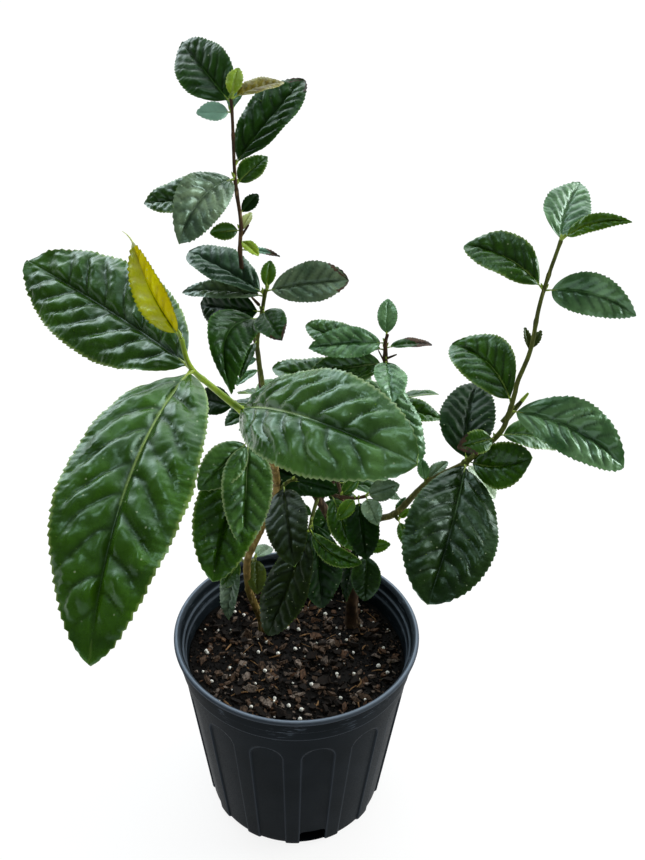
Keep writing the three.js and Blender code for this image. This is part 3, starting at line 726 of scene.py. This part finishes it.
def spiral_leaves(seed, count, first, turn, rise, length, **_):
    """Leaf rows set along a stem by rule."""
    rows = []
    for k in range(count):
        stray = [chance(seed, 4 * k + n) - 0.5 for n in range(4)]
        size = length * (1 + SIZE_STRAY * stray[0])
        rows.append((first + (1 - first) * k / (count - 1), turn + LEAF_SPIRAL * k + TURN_STRAY * stray[1],
                     rise + RISE_STRAY * stray[2], size, WIDTH_SHARE * size, ROLL_STRAY * stray[3]))
    return rows


def side_twig_path(path, seed, turn, k):
    """Path of a side twig that leaves a ruled shoot and bends up towards its tip."""
    around = turn + LEAF_SPIRAL * (k + 0.5) + TURN_STRAY * (chance(seed, -1 - k) - 0.5)
    along = leaf_axes(around, TWIG_RISE, 0)[0]
    root = curve_point(path, TWIG_FIRST + TWIG_STEP * k)
    return [root + along * TWIG_LENGTH * s + np.array([0, 0, TWIG_BEND * s * s]) for s in (0, 0.5, 1)]


def in_crown(root, row):
    """True if a ruled leaf stays inside the crown."""
    tip = root + leaf_axes(row[1], row[2], row[5])[0] * row[3]
    return tip[2] > CROWN_FOOT_Z and math.hypot(tip[0], tip[1]) < CROWN_RADIUS


# Leaves and stems

def smooth(low, high, value):
    """Soft step from 0 to 1."""
    t = np.clip((value - low) / (high - low), 0, 1)
    return t * t * (3 - 2 * t)


def ripple(x, y, seed):
    """Soft uneven waves over a blade, from -1 to 1."""
    p = [6.28 * chance(seed, 900 + n) for n in range(4)]
    return np.sin(1.7 * x + p[0] + 1.3 * np.sin(0.9 * y + p[1])) * np.sin(
        1.5 * y + p[2] + np.sin(0.8 * x + p[3]))


def blade_relief(x, y, half, length, width, seed, pale):
    """Height of the blade above its plain form, and its marks: above 0 the pale midrib and a painted
    highlight along the margin, below 0 painted shade in the creases.
    """
    large = smooth(45, 75, length)
    pitch = length / (6.8 + 1.8 * large)
    reach = np.abs(y)
    share = reach / np.maximum(half, 0.4)
    lean = 0.6 * reach + 1.2 * reach ** 2 / width
    phase = (x - lean) / pitch + np.where(y >= 0, 0.0, 0.46) + 0.14 * ripple(x / 9, y / 9, seed + 3)
    cell = np.floor(phase)
    off = phase - cell
    crest = np.sin(np.pi * off)
    vein_gap = np.minimum(off, 1 - off) * pitch * 0.8
    stray = np.sin(cell * 12.9898 + np.where(y >= 0, 0, 78.233) + seed) * 43758.5453
    stray = stray - np.floor(stray)
    inner = smooth(0.0, 0.16, share)
    loop = 0.58 + 0.26 * crest
    outer = 1 - smooth(loop - 0.2, loop + 0.06, share)
    taper = smooth(0, 0.1, x / length) * (1 - smooth(0.8, 1, x / length))
    quilt = (0.125 + 0.01 * large + 0.04 * chance(seed, 77)) * pitch
    swell = (0.7 + 0.6 * stray) * (1 + 0.22 * np.sin(14 * share + 2.4 * cell))
    swell += 0.3 * ripple(x / 5, y / 7, seed + 9)
    height = quilt * swell * crest ** 0.72 * inner * outer * taper
    height += 0.4 * quilt * np.abs(np.sin(2 * np.pi * phase)) * smooth(0.58, 0.78, share) * (
        1 - smooth(0.84, 0.98, share)) * taper
    height += 0.12 * quilt * ripple(x / 2.1, y / 2.1, seed) * inner
    height += 0.3 * quilt * ripple(x / 6, y / 6, seed + 1) * smooth(0.3, 0.95, share)
    height += 0.24 * half * share * (1 - share) * taper
    groove = 0.55 + 0.003 * length
    height -= 0.5 * groove * np.exp(-(reach / groove) ** 2) * taper
    line = 0.26 + 0.0022 * length
    midrib = pale * np.exp(-(reach / line) ** 2) * (1 - 0.92 * smooth(0.2, 0.8, x / length))
    # painted highlight along the margin
    rim_highlight = 0.5 * smooth(0.93, 1, share)
    # painted shade along the sunk side veins, their loops and the midrib groove
    side = 0.7 * np.exp(-(vein_gap / 0.8) ** 2) * (1 - smooth(0.55, 0.85, share)) * taper
    ring = 0.35 * np.exp(-(((share - loop) * half) / 0.8) ** 2) * taper
    trough = 0.6 * np.exp(-(reach / groove) ** 2) * taper
    crease = np.maximum(np.maximum(side, ring), trough) * smooth(6, 48, length)
    light = np.maximum(midrib, rim_highlight)
    return height, np.where(light > 0.5 * crease, light, -crease)


def toothed_rows(length, blade_length, width, broadest, seed):
    """Rows of a blade from its foot: share of its length, half width, and how far a tooth points on."""
    tooth = 2.7 if length > 60 else 2.0 if length > 34 else 1.5
    teeth = max(7, int(blade_length / tooth))
    b = np.arange(3 * teeth + 1) / (3 * teeth)
    outline = (np.maximum(b, 1e-6) ** broadest * np.maximum(1 - b, 1e-6) ** (1 - broadest)) ** BLADE_POWER
    peak = (broadest ** broadest * (1 - broadest) ** (1 - broadest)) ** BLADE_POWER
    saw = np.array([0.0, 0.5, 1.0])[np.arange(len(b)) % 3]
    keen = smooth(0.08, 0.2, b) * (1 - smooth(0.95, 1, b))
    notch = 0.26 * tooth * (1 + 0.5 * np.sin(2.3 * (np.arange(len(b)) // 3) + seed))
    half = 0.5 * width * outline / peak + (saw - 0.5) * notch * keen
    return b, np.maximum(half, np.where(b < 0.5, 0.7, 0.2)), 0.12 * tooth * (saw * keen)


def blade_finish(tone, b, around, scorch):
    """Material of each face, row by row and round the blade: upper face, underside, scorched tip."""
    upper = LEAF_SLOTS.index(TONES[tone])
    kinds = np.full((len(b), len(around)), upper)
    kinds[:, len(around) // 2:] = LEAF_SLOTS.index("under")
    if tone == "y":
        kinds[:] = np.where(around > 0, upper, LEAF_SLOTS.index("ripened"))
        kinds[b > 0.93] = LEAF_SLOTS.index("budtip")
    if tone in "lswp":
        kinds[:] = upper
    uneven = 0.3 * (np.abs(around) - 0.6) + 0.07 * np.sin(9 * around + 31 * b[:, None])
    kinds[b[:, None] + uneven > scorch] = LEAF_SLOTS.index("dried")
    return kinds


def grow_leaf(skin, root, row, tone, seed, scorch=UNBURNT, rib=PALE_RIB):
    """One leaf: a blade with toothed margin, quilted between sunk veins, and its stalk."""
    _, turn, rise, length, width, roll = row[:6]
    bend, broadest, arch, fold = (tuple(row[6:]) + (0, BROADEST, LEAF_ARCH, LEAF_FOLD)[len(row) - 6:])
    along, left, up = leaf_axes(turn, rise, roll)
    stalk = min(STALK_LENGTH, STALK_SHARE * length) / length
    blade_length = (1 - stalk) * length

    def place(at, side, lifted):
        """Points of the bent and arched leaf, at shares of its length."""
        swell = 4 * length * at * (1 - at)
        return (root + (at * length)[..., None] * along + (bend * swell + side)[..., None] * left
                + (arch * swell + lifted)[..., None] * up)

    b, half, point = toothed_rows(length, blade_length, width, broadest, seed)
    half_cols = min(max(round(0.5 * width / 1.1), 6), 22)
    t = np.linspace(1, 0, half_cols + 1)[:-1] ** 1.4
    share = np.concatenate([t, [0], -t[::-1]])
    y = half[:, None] * share[None, :]
    x = np.repeat((b * blade_length)[:, None], len(share), 1)
    x = x + point[:, None] * smooth(0.75, 1, np.abs(share))[None, :]
    height, vein = blade_relief(x, y, half[:, None], blade_length, width, seed, rib)
    height += (np.sqrt(y * y + 0.6) - math.sqrt(0.6)) * math.tan(math.radians(fold))
    edge = np.abs(share)[None, :] ** 3
    wave = 0.022 * width * np.sin(6.28 * (2.3 * b[:, None] + chance(seed, 5)) + np.where(y > 0, 0, 2.1))
    height += wave * edge
    keel = 0.5 * (0.4 + 0.006 * length) * np.exp(-(y / (0.5 + 0.004 * length)) ** 2)
    under_height = height - BLADE_THICKNESS * (1 - 0.6 * edge) - keel
    at = stalk + x / length
    top, under = place(at, y, height), place(at, y, under_height)
    rings = np.concatenate([top, under[:, -2:0:-1]], axis=1)
    veins = np.concatenate([vein, vein[:, -2:0:-1]], axis=1)
    kinds = blade_finish(tone, b[:-1], np.concatenate([share, share[-2:0:-1]]), scorch)
    skin.add(rings, kinds, (2.1 * width, blade_length), veins)
    if tone == "y":
        s = np.linspace(-0.4, WHISKER, 7)
        line = root + np.outer(length + s, along) + np.outer(0.05 * s * s, left)
        skin.add(tube(line, np.linspace(0.42, 0.1, 7), 6), LEAF_SLOTS.index("budtip"), (2.6, WHISKER))
    thick = min(max(0.011 * length, 0.55), 1.2)
    line = place(np.linspace(0, stalk + 0.05, 7), 0, -0.35 * thick)
    skin.add(tube(line, np.linspace(thick, 0.35 * thick, 7), 8), LEAF_SLOTS.index("stalk"),
             (6.3 * thick, length * (stalk + 0.05)))


def tube(line, radii, sides, relief_share=None):
    """Rings round a line, turned on from ring to ring without a twist."""
    steps = np.gradient(line, axis=0)
    tangents = steps / np.linalg.norm(steps, axis=1)[:, None]
    normal = np.cross(tangents[0], (0.3, 0.2, 1.0) if abs(tangents[0][2]) < 0.8 else (1.0, 0.2, 0.1))
    rings = []
    angle = 2 * np.pi * np.arange(sides) / sides
    for k, tangent in enumerate(tangents):
        normal = normal - tangent * normal.dot(tangent)
        normal = normal / np.linalg.norm(normal)
        other = np.cross(tangent, normal)
        r = radii[k] * (1 if relief_share is None else relief_share[k])
        rings.append(line[k] + np.outer(r * np.cos(angle), normal) + np.outer(r * np.sin(angle), other))
    return np.array(rings)


def grow_stem(skin, slot, path, radius, scars, flare=0, sides=14, step=0.9, seed=1):
    """A tapering stem with fissured bark and swollen rings where leaves stood."""
    line, share, length = smooth_line(path, step)
    radii = radius[0] + (radius[1] - radius[0]) * share + flare * np.exp(-share * length / FLARE_HEIGHT)
    run = share * length
    angle = 2 * np.pi * np.arange(sides) / sides
    around, down = np.meshgrid(angle, run)
    rough = 0.035 * np.sin(3 * around + 0.16 * down + 2 * np.sin(0.09 * down + seed))
    rough += 0.03 * np.sin(7 * around - 0.3 * down + seed) * np.sin(0.5 * down)
    for k, at in enumerate(scars):
        gap = run - at * length
        lump = np.exp(-(gap / 1.3) ** 2) + 0.5 * np.exp(-((gap + 1.9) / 0.6) ** 2)
        facing = 0.5 + 0.5 * np.cos(angle - 2.4 * k - seed)
        rough += lump[:, None] * (0.05 + 0.16 * facing[None, :])
    skin.add(tube(line, radii, sides, 1 + rough), slot, (6.3 * radius[0], length))


def grow_bud(skin, slot, foot, direction):
    """A pointed bud sunk in the stem, in a leaf's axil."""
    line = foot + np.outer(np.array([0, 0.25, 0.5, 0.75, 0.92, 1.0]) * BUD_LENGTH, direction)
    radii = BUD_RADIUS * np.array([0.7, 1, 0.95, 0.6, 0.25, 0.08])
    skin.add(tube(line, radii, 7), slot, (6 * BUD_RADIUS, BUD_LENGTH))


def rows_of(shoot, path):
    """Leaf rows of a shoot, listed or made by rule."""
    if "leaves" in shoot:
        return shoot["leaves"], shoot["tones"]
    rows = [r for r in spiral_leaves(**shoot["spiral"]) if in_crown(curve_point(path, r[0]), r)]
    return rows, (RULED_TONES * 3)[shoot["spiral"]["seed"]:]


def grow_shoot(name, shoot, twigs, seed):
    """The leaves of one shoot as a piece, and its stem and buds among the twigs."""
    skin = Skin()
    path = shoot["path"]
    slot = TWIG_SLOTS.index(shoot["finish"])
    rows, tones = rows_of(shoot, path)
    scars = sorted(row[0] for row in rows)
    grow_stem(twigs, slot, path, shoot["radius"], scars, sides=12, seed=seed)
    for k, row in enumerate(rows):
        root = curve_point(path, row[0])
        grow_leaf(skin, root, row, tones[k], 10 * seed + k, shoot.get("scorch", {}).get(k, UNBURNT),
                  shoot.get("ribs", {}).get(k, PALE_RIB))
        along = leaf_axes(row[1], BUD_RISE, 0)[0]
        if row[3] > LEAST_BUDDED:
            grow_bud(twigs, TWIG_SLOTS.index("stalk"), root + along * 0.6 * shoot["radius"][1], along)
    for k in range(shoot.get("spiral", {}).get("twigs", 0)):
        rule = shoot["spiral"]
        side = side_twig_path(path, rule["seed"], rule["turn"], k)
        few = spiral_leaves(seed=rule["seed"] + k + 1, turn=rule["turn"] + LEAF_SPIRAL * k, **TWIG_LEAVES)
        grow_stem(twigs, slot, side, TWIG_RADIUS, [r[0] for r in few], sides=8, seed=seed + k)
        for n, row in enumerate(few):
            root = curve_point(side, row[0])
            if in_crown(root, row):
                grow_leaf(skin, root, row, RULED_TONES[(seed + n + k) % 12], 10 * seed + 5 * k + n + 50)
    skin.build("leaves_" + name, LEAF_SLOTS, ["foliage_" + name])


def grow_plant():
    """All limbs, twigs and leaves."""
    for name, limb in LIMBS.items():
        skin = Skin()
        length = smooth_line(limb["path"], 1.0)[2]
        scars = [(k + 0.6) * limb["scars"] / length for k in range(int(length / limb["scars"]))]
        sides = 28 if name == "main_trunk" else 20
        grow_stem(skin, 0, limb["path"], limb["radius"], scars, limb["flare"], sides, step=0.7,
                  seed=len(name))
        skin.build("bark_" + name, [limb["finish"]], [name])
    twigs = Skin()
    for seed, (name, shoot) in enumerate(SHOOTS.items()):
        grow_shoot(name, shoot, twigs, seed + 1)
    for foot, tip, radius, finish in STUBS:
        line = np.linspace(foot, tip, 6)
        radii = radius * np.array([1, 1, 0.9, 0.8, 0.7, 0.5])
        twigs.add(tube(line, radii, 8), TWIG_SLOTS.index(finish), (6 * radius, math.dist(foot, tip)))
    twigs.build("young_twigs", TWIG_SLOTS, ["foliage_" + name for name in SHOOTS])


# Modelling by operators

def start_piece(primitive, name, **sizes):
    """A primitive with nothing else selected, named and in edit mode, all of it selected."""
    bpy.ops.object.select_all(action="DESELECT")
    primitive(**sizes)
    piece = bpy.context.object
    piece.name = piece.data.name = name
    bpy.ops.object.mode_set(mode="EDIT")
    return piece


def read_points(piece):
    """The points of a mesh in mm, one row each."""
    points = np.zeros(len(piece.data.vertices) * 3)
    piece.data.vertices.foreach_get("co", points)
    return points.reshape(-1, 3) / MM


def move_points(piece, points):
    """Moves the points of a mesh to places in mm."""
    piece.data.vertices.foreach_set("co", (points * MM).ravel())
    piece.data.update()


def finish_piece(piece, finish, node):
    """Gives a piece its one material and hands it to the frame."""
    piece.data.materials.clear()
    piece.data.materials.append(FINISHES[finish])
    hand_over(piece, [node])


# Pot

def outer_wall(z):
    """Radius of the tapered outer wall at a height, or at an array of heights."""
    return FOOT_RADIUS + (WALL_TOP_RADIUS - FOOT_RADIUS) * z / LEDGE_FOOT_Z


def pot_outline():
    """Radius and height of the pot's outline, from the middle of the underside round to the floor."""
    rows = [(0, 0), (30, 0), (FOOT_RADIUS - 2.2, 0), (FOOT_RADIUS - 0.7, 0.3), (FOOT_RADIUS, FOOT_ROUND)]
    heights = [*np.arange(2.5, 11, 1.5), 14, 20, *np.arange(28, 80, 8), 82, 86, *np.arange(88, 116, 0.8)]
    rows += [(outer_wall(z), z) for z in heights + [117.5, 120, 122, 123.6]]
    rows += COLLAR_OUTSIDE + LIP + COLLAR_INSIDE
    rows += [(outer_wall(z) - WALL, z) for z in (118, 100, 60, 20)]
    rows += [(FOOT_RADIUS - WALL, POT_FLOOR), (0, POT_FLOOR)]
    return rows


def inside_flute(radius, off, z):
    """How far in mm a point lies inside the edge of its flute, from its angle to the flute's middle."""
    across = np.abs(radius * np.sin(np.radians(off)))
    half = FLUTE_HALF_FOOT + (FLUTE_HALF_TOP - FLUTE_HALF_FOOT) * z / FLUTE_SPRING_Z
    return np.where(z < FLUTE_SPRING_Z, half - across, FLUTE_HALF_TOP - np.hypot(across, z - FLUTE_SPRING_Z))


def round_pot(points):
    """Radius, the nearest flute's number, the angle to its middle in degrees, and height."""
    turned = (np.degrees(np.arctan2(points[:, 1], points[:, 0])) - FLUTE_TURN) * FLUTES / 360
    nearest = np.round(turned)
    return np.hypot(points[:, 0], points[:, 1]), nearest, (turned - nearest) * 360 / FLUTES, points[:, 2]


def press_flutes(points):
    """Presses the arched flutes into the outer wall, and gathers the columns at their edges."""
    radius, nearest, off, z = round_pot(points)
    even = np.linspace(0, 180 / FLUTES, len(COLUMN_PLACES))
    off = np.sign(off) * np.interp(np.abs(off), even, COLUMN_PLACES)
    angle = np.radians(FLUTE_TURN + nearest * 360 / FLUTES + off)
    on_wall = (radius > outer_wall(z) - 2.6) & (z < LEDGE_FOOT_Z - 4) & (radius > 40)
    radius = radius - FLUTE_DEPTH * smooth(0, FLUTE_EDGE, inside_flute(radius, off, z)) * on_wall
    return np.stack([radius * np.cos(angle), radius * np.sin(angle), z], 1)


def painted_highlights(points):
    """How far a painted highlight lightens the plastic: on the lip, the inner steps, the ledges and the
    edges of the flutes.
    """
    radius, _, off, z = round_pot(points)
    lip = 0.16 * smooth(141.3, 142.2, z) * smooth(78.0, 79.4, radius)
    lip += 0.85 * np.exp(-((radius - 80.9) / 0.55) ** 2) * (z > 144)
    steps = 0.3 * np.exp(-((z - 136.6) / 0.6) ** 2) * (radius < 77.6)
    steps += 0.2 * np.exp(-((z - 130.8) / 0.7) ** 2) * (radius < 76)
    ledges = 0.1 * np.exp(-((z - 125.2) / 0.5) ** 2) + 0.14 * np.exp(-((z - 133.3) / 0.4) ** 2)
    outside = radius > outer_wall(z) - 2.5
    edge = 0.12 * np.exp(-((inside_flute(radius, off, z) - 0.1) / 0.45) ** 2) * (z < LEDGE_FOOT_Z - 4)
    return np.clip(lip + steps + (ledges + edge) * outside, 0, 1)


def make_pot():
    """The moulded pot: its outline is extruded point by point, spun, pressed and pierced."""
    pot = start_piece(bpy.ops.mesh.primitive_plane_add, "fluted_pot", size=0.01)
    bpy.ops.mesh.merge(type="CENTER")
    rows = pot_outline()
    for (r0, z0), (r1, z1) in zip(rows, rows[1:]):
        bpy.ops.mesh.extrude_region_move(
            TRANSFORM_OT_translate={"value": ((r1 - r0) * MM, 0, (z1 - z0) * MM)})
    bpy.ops.mesh.select_all(action="SELECT")
    bpy.ops.transform.rotate(value=-math.radians(FLUTE_TURN), orient_axis="Z", center_override=(0, 0, 0))
    bpy.ops.mesh.spin(steps=POT_STEPS, angle=2 * math.pi, center=(0, 0, 0), axis=(0, 0, 1))
    bpy.ops.mesh.select_all(action="SELECT")
    bpy.ops.mesh.remove_doubles(threshold=0.00001)
    bpy.ops.mesh.normals_make_consistent(inside=False)
    bpy.ops.object.mode_set(mode="OBJECT")
    move_points(pot, press_flutes(read_points(pot)))
    for k in DRAINED_FLUTES:
        pierce_drain(pot, math.radians(FLUTE_TURN + k * 360 / FLUTES))
    bpy.ops.object.shade_smooth_by_angle(angle=math.radians(32))
    # painted highlights on the lip, steps, ledges and flute edges, kept on the points
    worn = pot.data.attributes.new("worn", "FLOAT", "POINT")
    worn.data.foreach_set("value", painted_highlights(read_points(pot)).astype(np.float32))
    finish_piece(pot, "pot", "pot")


def pierce_drain(pot, turn):
    """Cuts a flat-topped drain hole with round corners through the wall of a flute, above the sill."""
    reach = (FOOT_RADIUS + 5 - DRAIN_INNER) / 2
    cutter = start_piece(bpy.ops.mesh.primitive_cube_add, "drain_cutter", size=2)
    bpy.ops.transform.resize(value=(reach * MM, DRAIN_HALF_WIDTH * MM, DRAIN_HEIGHT * MM))
    bpy.ops.mesh.bevel(offset=DRAIN_ROUND * MM, segments=7, affect="EDGES")
    bpy.ops.mesh.select_all(action="SELECT")
    bpy.ops.mesh.bisect(plane_co=(0, 0, DRAIN_SILL * MM), plane_no=(0, 0, 1),
                        use_fill=True, clear_inner=True)
    bpy.ops.object.mode_set(mode="OBJECT")
    out = Matrix.Translation(((DRAIN_INNER + reach) * MM, 0, 0))
    cutter.data.transform(Matrix.Rotation(turn, 4, "Z") @ out)
    cut = pot.modifiers.new("drain", "BOOLEAN")
    cut.object = cutter
    cut.operation = "DIFFERENCE"
    cut.solver = "EXACT"
    bpy.ops.object.select_all(action="DESELECT")
    bpy.context.view_layer.objects.active = pot
    pot.select_set(True)
    bpy.ops.object.modifier_apply(modifier="drain")
    bpy.data.objects.remove(cutter)


# Potting mix

def lumpy(x, y):
    """Height of the mix's surface in mm above its mean level."""
    wide = 1.1 * np.sin(x / 17 + 0.6) * np.sin(y / 21 + 1.1) + 0.7 * np.sin(x / 8.3 + y / 11)
    return wide + 0.5 * np.sin(x / 3.1 + 1) * np.sin(y / 3.7) - 0.6


def make_soil():
    """The mix: a lumpy bed under bark chips, crumbs, perlite grains and pale fibres."""
    bed = start_piece(bpy.ops.mesh.primitive_circle_add, "soil_bed", vertices=144,
                      radius=SOIL_RADIUS * MM, fill_type="NGON")
    for ring in range(BED_RINGS):
        bpy.ops.mesh.inset(thickness=SOIL_RADIUS / (BED_RINGS + 1.5) * MM)
    bpy.ops.mesh.select_all(action="SELECT")
    bpy.ops.mesh.normals_make_consistent(inside=False)
    bpy.ops.object.mode_set(mode="OBJECT")
    points = read_points(bed)
    points[:, 2] = SOIL_Z + lumpy(points[:, 0], points[:, 1])
    move_points(bed, points)
    wall = bed.modifiers.new("depth", "SOLIDIFY")
    wall.thickness = BED_DEPTH * MM
    wall.offset = -1
    bpy.ops.object.modifier_apply(modifier="depth")
    bpy.ops.object.shade_smooth()
    finish_piece(bed, "peat", "soil")
    rng = np.random.default_rng(MIX_SEED)
    scatter_chips(rng)
    scatter_crumbs(rng)
    scatter_perlite(rng)
    scatter_fibres(rng)


def spot(rng, reach):
    """A random place on the mix inside a radius."""
    r, a = reach * math.sqrt(rng.random()), rng.random() * 2 * math.pi
    x, y = r * math.cos(a), r * math.sin(a)
    return np.array([x, y, SOIL_Z + lumpy(x, y)])


def shard(rng, place, size, thick, tilt):
    """Two rings of a flat angular chip, turned at random and tilted."""
    sides = rng.integers(4, 7)
    angle = np.sort((np.arange(sides) + rng.uniform(-0.3, 0.3, sides)) * 2 * math.pi / sides)
    reach = size / 2 * rng.uniform(0.75, 1.1, sides)
    flat = np.stack([reach * np.cos(angle), reach * np.sin(angle) * rng.uniform(0.35, 0.8)], 1)
    spin = rng.random() * 2 * math.pi
    axes = Matrix.Rotation(spin, 3, "Z") @ Matrix.Rotation(tilt * rng.normal(), 3, "X") @ Matrix.Rotation(
        tilt * rng.normal(), 3, "Y")
    axes = np.array(axes)
    low = np.column_stack([flat, np.full(sides, -thick / 2)])
    high = np.column_stack([flat * rng.uniform(0.8, 0.95), np.full(sides, thick / 2)])
    return np.stack([place + low @ axes.T, place + high @ axes.T])


def scatter_chips(rng):
    """Angular chips of bark, lying flat or tilted."""
    chips = Skin()
    for k in range(CHIPS):
        size = min(CHIP_MOST, CHIP_LEAST + rng.exponential(CHIP_SPREAD))
        thick = min(2.6, 0.32 * size) * rng.uniform(0.5, 1.0)
        place = spot(rng, 72.5 - size / 2) + (0, 0, 0.3 * thick + rng.uniform(-0.6, 1.0))
        slot = rng.choice(4, p=[0.42, 0.28, 0.18, 0.12])
        chips.add(shard(rng, place, size, thick, 0.36), slot, (size, size))
    chips.build("bark_chips", list(CHIPPED_BARKS), ["soil"])


def scatter_crumbs(rng):
    """Crumbs of peat that fill the gaps between the chips."""
    crumbs = Skin()
    for k in range(CRUMBS):
        size = rng.uniform(*CRUMB_SIZES)
        place = spot(rng, 73) + (0, 0, rng.uniform(-0.4, 0.5))
        crumbs.add(shard(rng, place, size, 0.5 * size, 0.6), rng.choice(2, p=[0.93, 0.07]), (size, size))
    crumbs.build("peat_crumbs", ["peat", "chip_brown"], ["soil"])


def scatter_perlite(rng):
    """White perlite beads, each a dented ball."""
    beads = Skin()
    level = np.linspace(-0.96, 0.96, 6)
    for k in range(BEADS):
        radius = BEAD_LEAST_RADIUS + BEAD_SPREAD * rng.random() ** 1.6
        line = spot(rng, 71) + (0, 0, 0.6 * radius + 0.2) + np.outer(level * radius, (0, 0, 1))
        dents = rng.uniform(0.78, 1.15, (6, 8))
        beads.add(tube(line, radius * np.sqrt(1 - level ** 2), 8, dents), 0, (6 * radius, 2 * radius))
    beads.build("perlite_grains", ["perlite"], ["soil"])


def scatter_fibres(rng):
    """Pale bent fibres of wood that lie on the mix."""
    fibres = Skin()
    s = np.linspace(-0.5, 0.5, 7)
    for k in range(FIBRES):
        length, radius = rng.uniform(*FIBRE_LENGTHS), rng.uniform(*FIBRE_RADII)
        place = spot(rng, 66) + (0, 0, 1.2)
        turn = rng.random() * 2 * math.pi
        along = (math.cos(turn), math.sin(turn), rng.normal() * 0.12)
        across = (-math.sin(turn), math.cos(turn), 0.2)
        line = place + np.outer(s * length, along) + np.outer(0.35 * length * rng.normal() * s * s, across)
        fibres.add(tube(line, radius * (1.1 - np.abs(s)), 6), 0, (6 * radius, length))
    fibres.build("pale_fibres", ["straw"], ["soil"])


# Stage, light and camera

def make_floor():
    """A wide pale floor."""
    floor = start_piece(bpy.ops.mesh.primitive_plane_add, "pale_floor", size=FLOOR_SIDE)
    bpy.ops.object.mode_set(mode="OBJECT")
    floor.data.materials.append(white_sweep("white_acrylic_sweep"))


def make_light():
    """Soft lights as lobes of a dim surround, and the white backdrop that only the camera sees."""
    world = bpy.data.worlds.new("studio_surround")
    bpy.context.scene.world = world
    world.use_nodes = True
    tree = world.node_tree
    place = add(tree, "ShaderNodeTexCoord", {}, "Generated")
    light = DIM_ROOM
    for towards, sharpness, colour in SOFT_LIGHTS:
        facing = add(tree, "ShaderNodeVectorMath", {0: place, 1: towards}, "Value", operation="DOT_PRODUCT")
        ahead = add(tree, "ShaderNodeMath", {0: facing, 1: 0.0}, operation="MAXIMUM")
        lobe = add(tree, "ShaderNodeMath", {0: ahead, 1: sharpness}, operation="POWER")
        tinted = add(tree, "ShaderNodeVectorMath", {0: lobe, 1: colour}, operation="MULTIPLY")
        light = add(tree, "ShaderNodeVectorMath", {0: tinted, 1: light}, operation="ADD")
    seen = add(tree, "ShaderNodeLightPath", {}, "Is Camera Ray")
    shown = shaded(tree, seen, 0, 1, light, BACKDROP)
    tree.links.new(shown, tree.nodes["Background"].inputs["Color"])
    bpy.context.scene.view_settings.view_transform = "Standard"


def make_camera():
    """The photograph's viewpoint."""
    pitch, roll = math.radians(CAMERA_PITCH), math.radians(CAMERA_ROLL)
    ahead = Vector((0, math.cos(pitch), -math.sin(pitch)))
    right = Vector((1, 0, 0))
    up = right.cross(ahead)
    turned_right = right * math.cos(roll) + up * math.sin(roll)
    turned_up = up * math.cos(roll) - right * math.sin(roll)
    lens = bpy.data.cameras.new("photo_camera")
    lens.sensor_fit = "VERTICAL"
    lens.sensor_height = 36
    lens.lens = FOCAL_IN_HEIGHTS * 36
    lens.clip_start = 0.01
    camera = bpy.data.objects.new("photo_camera", lens)
    axes = Matrix((turned_right, turned_up, -ahead)).transposed().to_4x4()
    camera.matrix_world = Matrix.Translation(Vector(CAMERA_PLACE) * MM) @ axes
    bpy.context.scene.collection.objects.link(camera)
    bpy.context.scene.camera = camera


make_camera()
make_floor()
make_light()
make_pot()
make_soil()
grow_plant()
